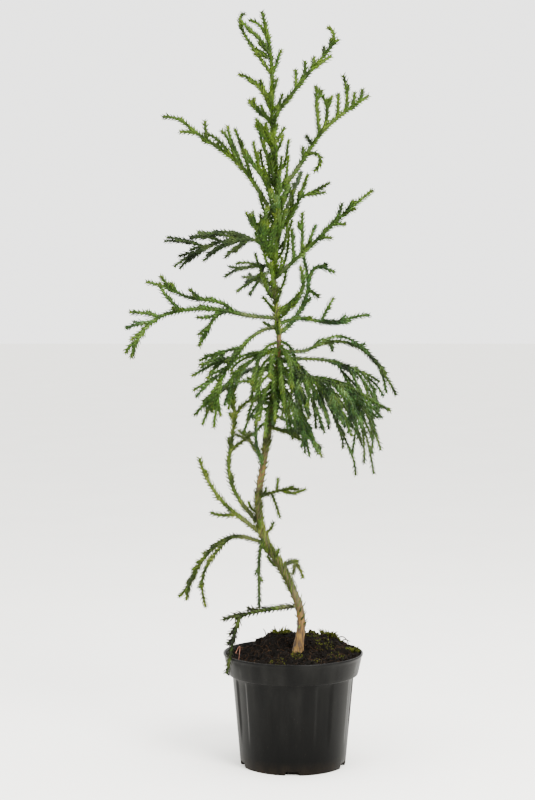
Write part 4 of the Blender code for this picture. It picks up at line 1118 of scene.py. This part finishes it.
def make_limbs(plant, blocks, looks):
    """The trunk and the boughs with their bark, and the old needles that stay on them."""
    chance = random.Random(LIMB_SEED)
    line = trunk_centre_line(LIMB_STEP)
    radii = np.array([trunk_radius(level) for level in line[:, 2]])
    foot = line[:1] - UP * TRUNK_BURIED
    trunk = Block()
    add_limb(trunk, np.vstack([foot, line]), np.append(radii[0] * TRUNK_FOOT_SWELL, radii))
    piece = trunk.piece("trunk_with_bark", looks["trunk_bark"], "trunk_bark")
    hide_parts("trunk")
    for low, high, share in TRUNK_NEEDLE_SPANS:
        rows = np.nonzero((line[:, 2] >= low) & (line[:, 2] <= high))[0][::TRUNK_NEEDLE_ROWS]
        block = blocks["needles_top"] if low > TRUNK_GREEN_LEVEL else blocks["needles_olive"]
        pitch = TRUNK_NEEDLE_PITCH / share
        add_needles(block, line[rows], radii[rows], TRUNK_NEEDLE_SIZE, pitch, chance)
    boughs = Block()
    nodes = []
    for name, part in plant.items():
        if part["bough"] is None:
            continue
        girth, size = SIZE_OF_MASS.get(name, PLAIN_SIZE)
        points = resample(part["bough"], LIMB_STEP)
        radii = np.linspace(SHOOT_FOOT_RADIUS * BOUGH_SWELL, MAIN_RADII[0] * girth, len(points))
        add_limb(boughs, points, radii)
        add_needles(blocks[LOOK_OF_MASS[name]], points, radii, size, BOUGH_NEEDLE_PITCH, chance)
        nodes.append(name + "_bough")
    piece = boughs.piece("boughs_with_bark", looks["bough_bark"], "bough_bark")
    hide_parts(*nodes)


def make_foliage(plant, blocks, stems, looks):
    """The needles as one piece for each colour, and the stems they stand on."""
    for name, block in blocks.items():
        piece = block.piece(name, looks[name], "needles")
        masses = MASSES_OF_LOOK.get(name, "").split()
        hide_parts(*[spray_name(mass, plant) for mass in masses])
    # The stems' darker green is painted shade between the needles
    stems.piece("green_stems_in_painted_shade", looks["green_stems_in_painted_shade"], "needles")


def spray_name(mass, plant):
    """The name of a mass's node."""
    return mass if plant[mass]["bough"] is None else mass + "_spray"


def away_from(turn, first, count):
    """How far a turn is from the nearest of `count` even turns, in degrees."""
    period = 360 / count
    return abs((turn - first + period / 2) % period - period / 2)


def flute_share(turn):
    """From 0 on the pot's plain wall to 1 in the middle of a sunk flute, for a turn in degrees."""
    away = away_from(turn, FLUTE_FIRST_TURN, FLUTE_COUNT)
    return float(np.clip((FLUTE_WIDTH / 2 - away) / FLUTE_EDGE + 0.5, 0, 1))


def notch_share(turn):
    """From 0 beside a drainage notch to 1 in it, for a turn in degrees."""
    away = away_from(turn, NOTCH_FRONT_TURN, NOTCH_COUNT)
    half = math.degrees(NOTCH_WIDTH / 2 / POT_BASE_RADIUS)
    return float(np.clip((half - away) / NOTCH_EDGE + 0.5, 0, 1))


def bevel(radius, level, offsets):
    """The corners that round a sharp corner of the pot's outline."""
    return [(radius + out, level + up) for out, up in offsets]


def pot_outline(turn):
    """The pot's outline at one turn, from its underside up, over the rim and down inside."""
    notch = notch_share(turn) * NOTCH_HEIGHT
    flute = flute_share(turn)
    flute = flute * flute * (3 - 2 * flute)
    band_foot = POT_HEIGHT - POT_BAND_HEIGHT
    inner = POT_BASE_RADIUS - NOTCH_DEPTH
    under = POT_SHOULDER_RADIUS + POT_BAND_STEP
    outline = bevel(inner, 0.0, INNER_BEVEL) + bevel(inner, notch, NOTCH_BEVEL)
    outline += bevel(POT_BASE_RADIUS, notch, FOOT_BEVEL)
    for i in range(1, WALL_ROWS + 1):
        level = WALL_FOOT + (band_foot - WALL_TOP_GAP - WALL_FOOT) * (i / WALL_ROWS)
        radius = np.interp(level, (0, band_foot), (POT_BASE_RADIUS, POT_SHOULDER_RADIUS))
        fade = np.clip((FLUTE_TOP - level) / FLUTE_TOP_BLEND, 0, 1)
        fade *= np.clip((level - FLUTE_FOOT) / FLUTE_FOOT_BLEND, 0, 1)
        outline.append((radius - FLUTE_DEPTH * flute * fade, level))
    outline += bevel(POT_SHOULDER_RADIUS, band_foot, STEP_BEVEL) + bevel(under, band_foot, BAND_BEVEL)
    for i in range(1, BAND_ROWS + 1):
        rise = POT_HEIGHT - BAND_TOP_GAP - band_foot - BAND_FOOT_GAP
        level = band_foot + BAND_FOOT_GAP + rise * (i / BAND_ROWS)
        radius = np.interp(level, (band_foot, POT_HEIGHT), (under, POT_RIM_RADIUS))
        sunk = FLUTE_DEPTH * BAND_FLUTE_SHARE * flute * math.sin(math.pi * i / BAND_ROWS)
        outline.append((radius - sunk, level))
    outline += bevel(POT_RIM_RADIUS, POT_HEIGHT, RIM_BEVEL)
    for depth in POT_INSIDE_DEPTHS:
        outline.append((pot_inner_radius(POT_HEIGHT - depth) - INSIDE_GAP, POT_HEIGHT - depth))
    return outline


def make_pot(look):
    """The moulded pot: flutes, rim band, drainage notches and small moulding nubs."""
    pot = Block()
    turns = [360 * k / POT_SEGMENTS for k in range(POT_SEGMENTS)]
    outlines = np.array([pot_outline(turn) for turn in turns])
    angles = np.radians(turns)
    rings = []
    for i in range(outlines.shape[1]):
        radius, level = outlines[:, i, 0], outlines[:, i, 1]
        rings.append(np.stack([radius * np.cos(angles), radius * np.sin(angles), level], axis=1))
    pot.add(np.vstack(rings), ring_faces(len(rings), POT_SEGMENTS))
    base = np.vstack([rings[0], [[0, 0, 0]]])
    pot.add(base, cap_faces(0, POT_SEGMENTS)[:, [1, 0, 2]])
    chance = random.Random(POT_SEED)
    for k in range(FLUTE_COUNT):
        for edge in (-1, 1):
            turn = FLUTE_FIRST_TURN + 360 / FLUTE_COUNT * k + edge * (FLUTE_WIDTH / 2 + NUB_TURN)
            level = POT_HEIGHT - POT_BAND_HEIGHT + NUB_LEVEL + chance.uniform(0, NUB_LEVEL_CHANCE)
            add_nub(pot, turn, level)
    piece = pot.piece("nursery_pot", look, "pot_plastic")
    piece.data.set_sharp_from_angle(angle=math.radians(POT_SHARP_TURN))
    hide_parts("pot")


def add_nub(block, turn, level):
    """A small round nub that the mould leaves on the rim band."""
    share = (level - (POT_HEIGHT - POT_BAND_HEIGHT)) / POT_BAND_HEIGHT
    radius = np.interp(share, (0, 1), (POT_SHOULDER_RADIUS + POT_BAND_STEP, POT_RIM_RADIUS))
    out = level_direction(math.radians(turn))
    side = np.cross(UP, out)
    centre = out * (radius - NUB_SUNK) + UP * level
    spin = circle(NUB_SIDES)
    ring = np.outer(np.cos(spin), side) + np.outer(np.sin(spin), UP)
    rings = []
    for lift, wide in NUB_OUTLINE:
        rings.append(centre + ring * NUB_RADIUS * wide + out * NUB_RADIUS * NUB_LIFT * lift)
    block.add(np.vstack(rings), ring_faces(len(rings), NUB_SIDES))


def ground_height(x, y):
    """The soil's height with its crumbly roughness."""
    near_wall = held((SOIL_RADIUS - math.hypot(x, y)) / SOIL_WALL_BLEND)
    place = Vector((x, y, 0))
    rough = noise.fractal(place * SOIL_ROUGH_WAVES, *SOIL_ROUGH_DETAIL) * SOIL_ROUGH
    clods = max(noise.noise(place * SOIL_CLOD_WAVES + Vector(SOIL_CLOD_SHIFT)), 0.0) * SOIL_CLOD
    level = soil_height(x, y)
    left = held((SOIL_DIP_EDGE - x) / SOIL_DIP_BLEND)
    level -= SOIL_DIP * left * left * (3 - 2 * left)
    level -= SOIL_CAP_BLEND * math.log1p(math.exp((level - SOIL_CAP) / SOIL_CAP_BLEND))
    return level + (rough + clods) * near_wall


def make_soil(looks):
    """The soil's rough surface with its crumbs, bark chips, fibres, moss, bare root and stalks."""
    angles = [2 * math.pi * k / SOIL_SPOKES for k in range(SOIL_SPOKES)]
    rings = []
    for i in range(SOIL_RINGS):
        radius = SOIL_RADIUS * (1 - i / SOIL_RINGS)
        places = [(radius * math.cos(a), radius * math.sin(a)) for a in angles]
        rings.append(np.array([(x, y, ground_height(x, y)) for x, y in places]))
    under = POT_HEIGHT - SOIL_SKIRT
    inside = pot_inner_radius(under) / SOIL_RADIUS - SOIL_SKIRT_SHARE
    skirt = rings[0] * np.array([1, 1, 0]) * inside + UP * under
    surface = Block()
    surface.add(np.vstack([skirt] + rings), ring_faces(SOIL_RINGS + 1, SOIL_SPOKES))
    middle = np.vstack([rings[-1], [[0, 0, ground_height(0, 0)]]])
    surface.add(middle, cap_faces(0, SOIL_SPOKES))
    piece = surface.piece("soil_surface", looks["soil"], "potting_soil")
    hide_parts("soil")
    chance = random.Random(SOIL_SEED)
    make_crumbs(chance, looks["crumbs"])
    make_chips(chance, looks["chips"])
    make_fibres(chance, looks["fibres"])
    make_moss(chance, looks["moss"])
    make_bits("bare_roots", BARE_ROOTS, BARE_ROOT_RADIUS, looks["roots"])
    make_bits("dry_stalks", STALKS, STALK_RADIUS, looks["stalks"])


def make_bits(name, lines, radius, look):
    """Thin roots or stalks that lie or stand in the soil."""
    bits = Block()
    for line in lines:
        knots = np.array([(x, y, ground_height(x, y) + over) for x, y, over in line])
        points = resample(smooth_line(knots), BIT_STEP)
        add_stem(bits, points, np.linspace(radius, radius * BIT_TIP_SHARE, len(points)), BIT_SIDES)
    bits.piece(name, look, "potting_soil")


def smooth_line(knots):
    """A finer line with the same ends and with its corners rounded."""
    points = knots
    for _ in range(CORNER_ROUNDS):
        low = points[:-1] * (1 - CORNER_CUT) + points[1:] * CORNER_CUT
        high = points[:-1] * CORNER_CUT + points[1:] * (1 - CORNER_CUT)
        middle = np.stack([low, high], axis=1).reshape(-1, 3)
        points = np.vstack([points[:1], middle, points[-1:]])
    return points


def soil_place(chance, reach=1.0):
    """A random place on the soil."""
    radius = (SOIL_RADIUS - SOIL_MARGIN) * reach * math.sqrt(chance.random())
    angle = chance.uniform(0, 2 * math.pi)
    x, y = radius * math.cos(angle), radius * math.sin(angle)
    return x, y, ground_height(x, y)


def make_crumbs(chance, look):
    """Crumbs of soil, each a small uneven lump."""
    bm = bmesh.new()
    bmesh.ops.create_icosphere(bm, subdivisions=1, radius=1.0)
    ball = np.array([v.co for v in bm.verts])
    faces = np.array([[v.index for v in f.verts] for f in bm.faces])
    bm.free()
    crumbs = Block()
    for _ in range(CRUMB_COUNT):
        x, y, level = soil_place(chance)
        share = chance.random() ** CRUMB_SIZE_POWER
        size = CRUMB_SIZES[0] + (CRUMB_SIZES[1] - CRUMB_SIZES[0]) * share
        uneven = np.array([chance.uniform(*CRUMB_UNEVEN) for _ in ball])[:, None]
        shape = np.array([chance.uniform(*shares) for shares in CRUMB_SHAPES])
        corners = ball * uneven * shape * size + np.array([x, y, level + size * CRUMB_LIFT])
        crumbs.add(corners, faces)
    crumbs.piece("soil_crumbs", look, "potting_soil")


def make_chips(chance, look):
    """Chips of bark that lie on the soil at all angles."""
    chips = Block()
    corners = np.array([(x, y, z) for x in (-1, 1) for y in (-1, 1) for z in (-1, 1)], dtype=float)
    faces = np.array([(0, 1, 3), (0, 3, 2), (4, 6, 7), (4, 7, 5), (0, 4, 5), (0, 5, 1),
                      (2, 3, 7), (2, 7, 6), (0, 2, 6), (0, 6, 4), (1, 5, 7), (1, 7, 3)])
    for _ in range(CHIP_COUNT):
        x, y, level = soil_place(chance)
        length = chance.uniform(*CHIP_SIZES)
        size = np.array([length, length * chance.uniform(*CHIP_WIDTHS), length * CHIP_THICKNESS]) / 2
        uneven = np.array([[chance.uniform(*CHIP_UNEVEN) for _ in range(3)] for _ in corners])
        chip = corners * uneven * size
        chip = turned(chip, INWARDS, math.radians(chance.uniform(-CHIP_LEAN, CHIP_LEAN)))
        chip = turned(chip, UP, chance.uniform(0, 2 * math.pi))
        chips.add(chip + np.array([x, y, level + CHIP_LIFT]), faces)
    piece = chips.piece("bark_chips", look, "potting_soil")
    piece.data.shade_flat()


def make_fibres(chance, look):
    """Fine fibres that lie curved on the soil."""
    fibres = Block()
    for _ in range(FIBRE_COUNT):
        x, y, level = soil_place(chance, FIBRE_REACH)
        angle = chance.uniform(0, 2 * math.pi)
        length = chance.uniform(*FIBRE_LENGTHS)
        lift = chance.uniform(*FIBRE_LIFTS)
        bend = chance.uniform(-FIBRE_BEND, FIBRE_BEND)
        points = []
        for i in range(FIBRE_STEPS + 1):
            share = i / FIBRE_STEPS
            turn = angle + bend * share
            px = x + math.cos(turn) * length * share
            py = y + math.sin(turn) * length * share
            if math.hypot(px, py) > SOIL_RADIUS - BIT_MARGIN:
                break
            over = math.sin(share * math.pi) * length * lift
            points.append((px, py, max(level, ground_height(px, py)) + over))
        if len(points) >= FIBRE_FEWEST_POINTS:
            add_stem(fibres, np.array(points), np.linspace(*FIBRE_RADII, len(points)), FIBRE_SIDES)
    fibres.piece("soil_fibres", look, "potting_soil")


def make_moss(chance, look):
    """Small tufts of moss and weed on the soil."""
    moss = Block()
    for x, y, reach, count, tall in MOSS_TUFTS:
        for _ in range(count):
            spread = reach * math.sqrt(chance.random())
            angle = chance.uniform(0, 2 * math.pi)
            px, py = x + math.cos(angle) * spread, y + math.sin(angle) * spread
            if math.hypot(px, py) > SOIL_RADIUS - BIT_MARGIN:
                continue
            level = ground_height(px, py) - MOSS_SUNK
            lean = level_direction(angle) * chance.uniform(*MOSS_LEANS)
            blade = (lean + UP * chance.uniform(*MOSS_RISES)) * tall * chance.uniform(*MOSS_LENGTHS)
            steps = np.arange(len(MOSS_RADII))
            points = np.array([(px, py, level)]) + np.outer(steps, blade / steps[-1])
            points[:, 2] -= steps ** 2 * tall * MOSS_DROOP
            add_stem(moss, points, MOSS_RADII, MOSS_SIDES)
    moss.piece("moss", look, "potting_soil")


class Look:
    """A material, with the few kinds of nodes that the looks of this object are made of."""

    def __init__(self, name, finish):
        self.material = bpy.data.materials.new(name)
        self.material.use_nodes = True
        self.tree = self.material.node_tree
        self.shader = self.tree.nodes["Principled BSDF"]
        self.paint({"Roughness": finish[0], "Specular IOR Level": finish[1]})

    def fill(self, node, inputs):
        """Fill a node's inputs, each with a value or from the output of another node."""
        for name, value in inputs.items():
            if isinstance(value, bpy.types.NodeSocket):
                self.tree.links.new(value, node.inputs[name])
            else:
                node.inputs[name].default_value = value
        return node

    def node(self, kind, inputs):
        """A new node with its inputs."""
        return self.fill(self.tree.nodes.new("ShaderNode" + kind), inputs)

    def paint(self, inputs):
        """Fill inputs of the material's shader."""
        self.fill(self.shader, inputs)

    def place(self):
        """The place in the object's own space."""
        return self.node("TexCoord", {}).outputs["Object"]

    def height(self):
        """The height in the object's own space."""
        return self.node("SeparateXYZ", {"Vector": self.place()}).outputs["Z"]

    def noise(self, scale, detail, stretch=(1, 1, 1)):
        """Noise in the object's own space, which may be stretched along an axis."""
        mapping = self.node("Mapping", {"Vector": self.place(), "Scale": stretch})
        return self.node("TexNoise", {
            "Vector": mapping.outputs["Vector"], "Scale": scale, "Detail": detail,
            "Roughness": NOISE_ROUGHNESS}).outputs["Fac"]

    def ramp(self, factor, stops):
        """A colour ramp over a factor; each stop is a place and a colour in linear light."""
        node = self.node("ValToRGB", {"Fac": factor})
        elements = node.color_ramp.elements
        while len(elements) < len(stops):
            elements.new(0.5)
        for element, (place, color) in zip(elements, stops):
            element.position = place
            element.color = (*color, 1.0)
        return node.outputs["Color"]

    def spread(self, factor, low, high, first=0.0, last=1.0):
        """A factor spread from the range `first` to `last` over the range `low` to `high`."""
        return self.node("MapRange", {
            "Value": factor, "From Min": first, "From Max": last,
            "To Min": low, "To Max": high}).outputs["Result"]

    def mix(self, factor, first, second):
        """Two colours mixed by a factor."""
        node = self.node("Mix", {"Factor": factor})
        node.data_type = "RGBA"
        return self.fill(node, dict(zip(MIX_COLORS, (first, second)))).outputs[MIX_RESULT]

    def bump(self, height, strength, distance):
        """Fine relief from a height factor."""
        node = self.node("Bump", {"Height": height, "Strength": strength, "Distance": distance})
        self.paint({"Normal": node.outputs["Normal"]})

    def vary_each(self, color, dark, light):
        """A colour made darker or lighter by chance from one small part to the next."""
        each = self.node("NewGeometry", {}).outputs["Random Per Island"]
        value = self.spread(each, dark, light)
        return self.node("HueSaturation", {"Value": value, "Color": color}).outputs["Color"]


def needle_look(name, tones):
    """Waxy needles: three tones in patches, each needle a little lighter or darker."""
    look = Look(name, NEEDLE_FINISH)
    color = look.ramp(look.noise(*NEEDLE_PATCHES), tuple(zip(NEEDLE_PLACES, tones)))
    look.paint({
        "Base Color": look.vary_each(color, *NEEDLE_SHARES),
        "Roughness": look.spread(look.noise(*NEEDLE_GRAIN), *NEEDLE_ROUGHNESS)})
    return look.material


def bark_look(name, tones, greens, tan):
    """Fibrous young bark: green strips, and tan ones where the green skin has split, by height."""
    look = Look(name, BARK_FINISH)
    strips = look.noise(*BARK_STRIPS)
    bark = look.ramp(strips, tuple(zip(BARK_PLACES, tones)))
    leafy = look.ramp(look.noise(*BARK_PATCHES), tuple(zip(BARK_PLACES, greens)))
    bare = look.ramp(look.height(), [(level, (share,) * 3) for level, share in tan])
    look.paint({"Base Color": look.mix(bare, leafy, bark)})
    look.bump(strips, *BARK_BUMP)
    return look.material


def pot_look():
    """Charcoal moulded plastic with a soft sheen and painted shade that darkens it towards its foot,
    faint dust, and dried soil near its foot.
    """
    look = Look("pot_plastic", POT_FINISH)
    streaks = look.noise(*POT_STREAKS)
    level = look.height()
    high = look.spread(level, 0.0, 1.0, *POT_SHADE_FADE_LEVELS)
    # Painted shade: the plastic grows darker from the band down to the foot
    shaded_plastic = look.mix(high, look.ramp(streaks, POT_FOOT_SHADE_TONES), look.ramp(streaks, POT_TONES))
    dust = look.ramp(look.noise(*POT_SPECKS), POT_DUST_SHARES)
    dusty = look.mix(dust, shaded_plastic, look.ramp(streaks, POT_DUST_TONES))
    low = look.spread(level, POT_DIRT_MOST, 0.0, *POT_DIRT_LEVELS)
    grime = look.node("Math", {0: low, 1: look.noise(*POT_DIRT_PATCHES)})
    grime.operation = "MULTIPLY"
    look.paint({
        "Base Color": look.mix(grime.outputs[0], dusty, look.ramp(streaks, POT_DIRT_TONES)),
        "Roughness": look.spread(streaks, *POT_ROUGHNESS)})
    look.bump(look.noise(*POT_GRAIN), *POT_BUMP)
    return look.material


def earth_look(name, tones, places, scale, dark, light):
    """The soil or the bits on it: three mixed tones, each small part a little different."""
    look = Look(name, EARTH_FINISH)
    color = look.ramp(look.noise(scale, EARTH_DETAIL), tuple(zip(places, tones)))
    look.paint({"Base Color": look.vary_each(color, dark, light)})
    look.bump(look.noise(scale * EARTH_BUMP_SCALE, EARTH_BUMP_DETAIL), *EARTH_BUMP)
    return look.material


def stage_look():
    """The plain floor, with a very faint unevenness."""
    look = Look("studio_paint", FLOOR_FINISH)
    look.paint({"Base Color": look.ramp(look.noise(*FLOOR_PATCHES), FLOOR_TONES)})
    return look.material


def make_looks():
    """Every material of the object by name."""
    looks = {name: needle_look(name, tones) for name, tones in NEEDLE_LOOKS.items()}
    looks["green_stems_in_painted_shade"] = needle_look("green_stems_in_painted_shade", STEM_SHADE_GREENS)
    looks["trunk_bark"] = bark_look("trunk_bark", TRUNK_TONES, TRUNK_GREENS, TRUNK_TAN)
    looks["bough_bark"] = bark_look("bough_bark", BOUGH_TONES, BOUGH_GREENS, BOUGH_TAN)
    looks["pot"] = pot_look()
    for name, values in EARTH_LOOKS.items():
        looks[name] = earth_look(name, *values)
    return looks


def make_stage():
    """The plain pale floor and the soft studio lights."""
    reach = FLOOR_REACH
    corners = [(-reach, -reach, 0), (reach, -reach, 0), (reach, reach, 0), (-reach, reach, 0)]
    mesh = bpy.data.meshes.new("studio_floor")
    mesh.from_pydata(corners, [], [(0, 1, 2, 3)])
    mesh.materials.append(stage_look())
    floor = bpy.data.objects.new("studio_floor", mesh)
    bpy.context.scene.collection.objects.link(floor)
    for name, place, size, power, tint in LIGHTS:
        lamp = bpy.data.lights.new(name, "AREA")
        lamp.shape = "RECTANGLE"
        lamp.size, lamp.size_y = size
        lamp.energy = power
        lamp.color = tint
        light = bpy.data.objects.new(name, lamp)
        light.location = place
        light.rotation_euler = (Vector(LIGHT_AIM) - Vector(place)).to_track_quat("-Z", "Y").to_euler()
        bpy.context.scene.collection.objects.link(light)
    world = bpy.data.worlds.new("studio_world")
    world.use_nodes = True
    world.node_tree.nodes["Background"].inputs["Color"].default_value = WORLD_TONE
    world.node_tree.nodes["Background"].inputs["Strength"].default_value = WORLD_STRENGTH
    bpy.context.scene.world = world


def make_camera():
    """The camera at the photograph's viewing angle."""
    lens = bpy.data.cameras.new("camera")
    lens.lens = CAMERA_LENS
    lens.sensor_width = CAMERA_SENSOR
    camera = bpy.data.objects.new("camera", lens)
    camera.location = CAMERA_PLACE
    camera.rotation_euler = (math.radians(90 - CAMERA_PITCH), 0, 0)
    bpy.context.scene.collection.objects.link(camera)
    bpy.context.scene.camera = camera


def main():
    """Build the plant, the pot, the soil and the stage."""
    plant = grow_plant()
    looks = make_looks()
    blocks, stems = grow_foliage(plant)
    grow_trunk_shoots(blocks, stems)
    make_limbs(plant, blocks, looks)
    make_foliage(plant, blocks, stems, looks)
    make_pot(looks["pot"])
    make_soil(looks)
    make_stage()
    make_camera()


main()
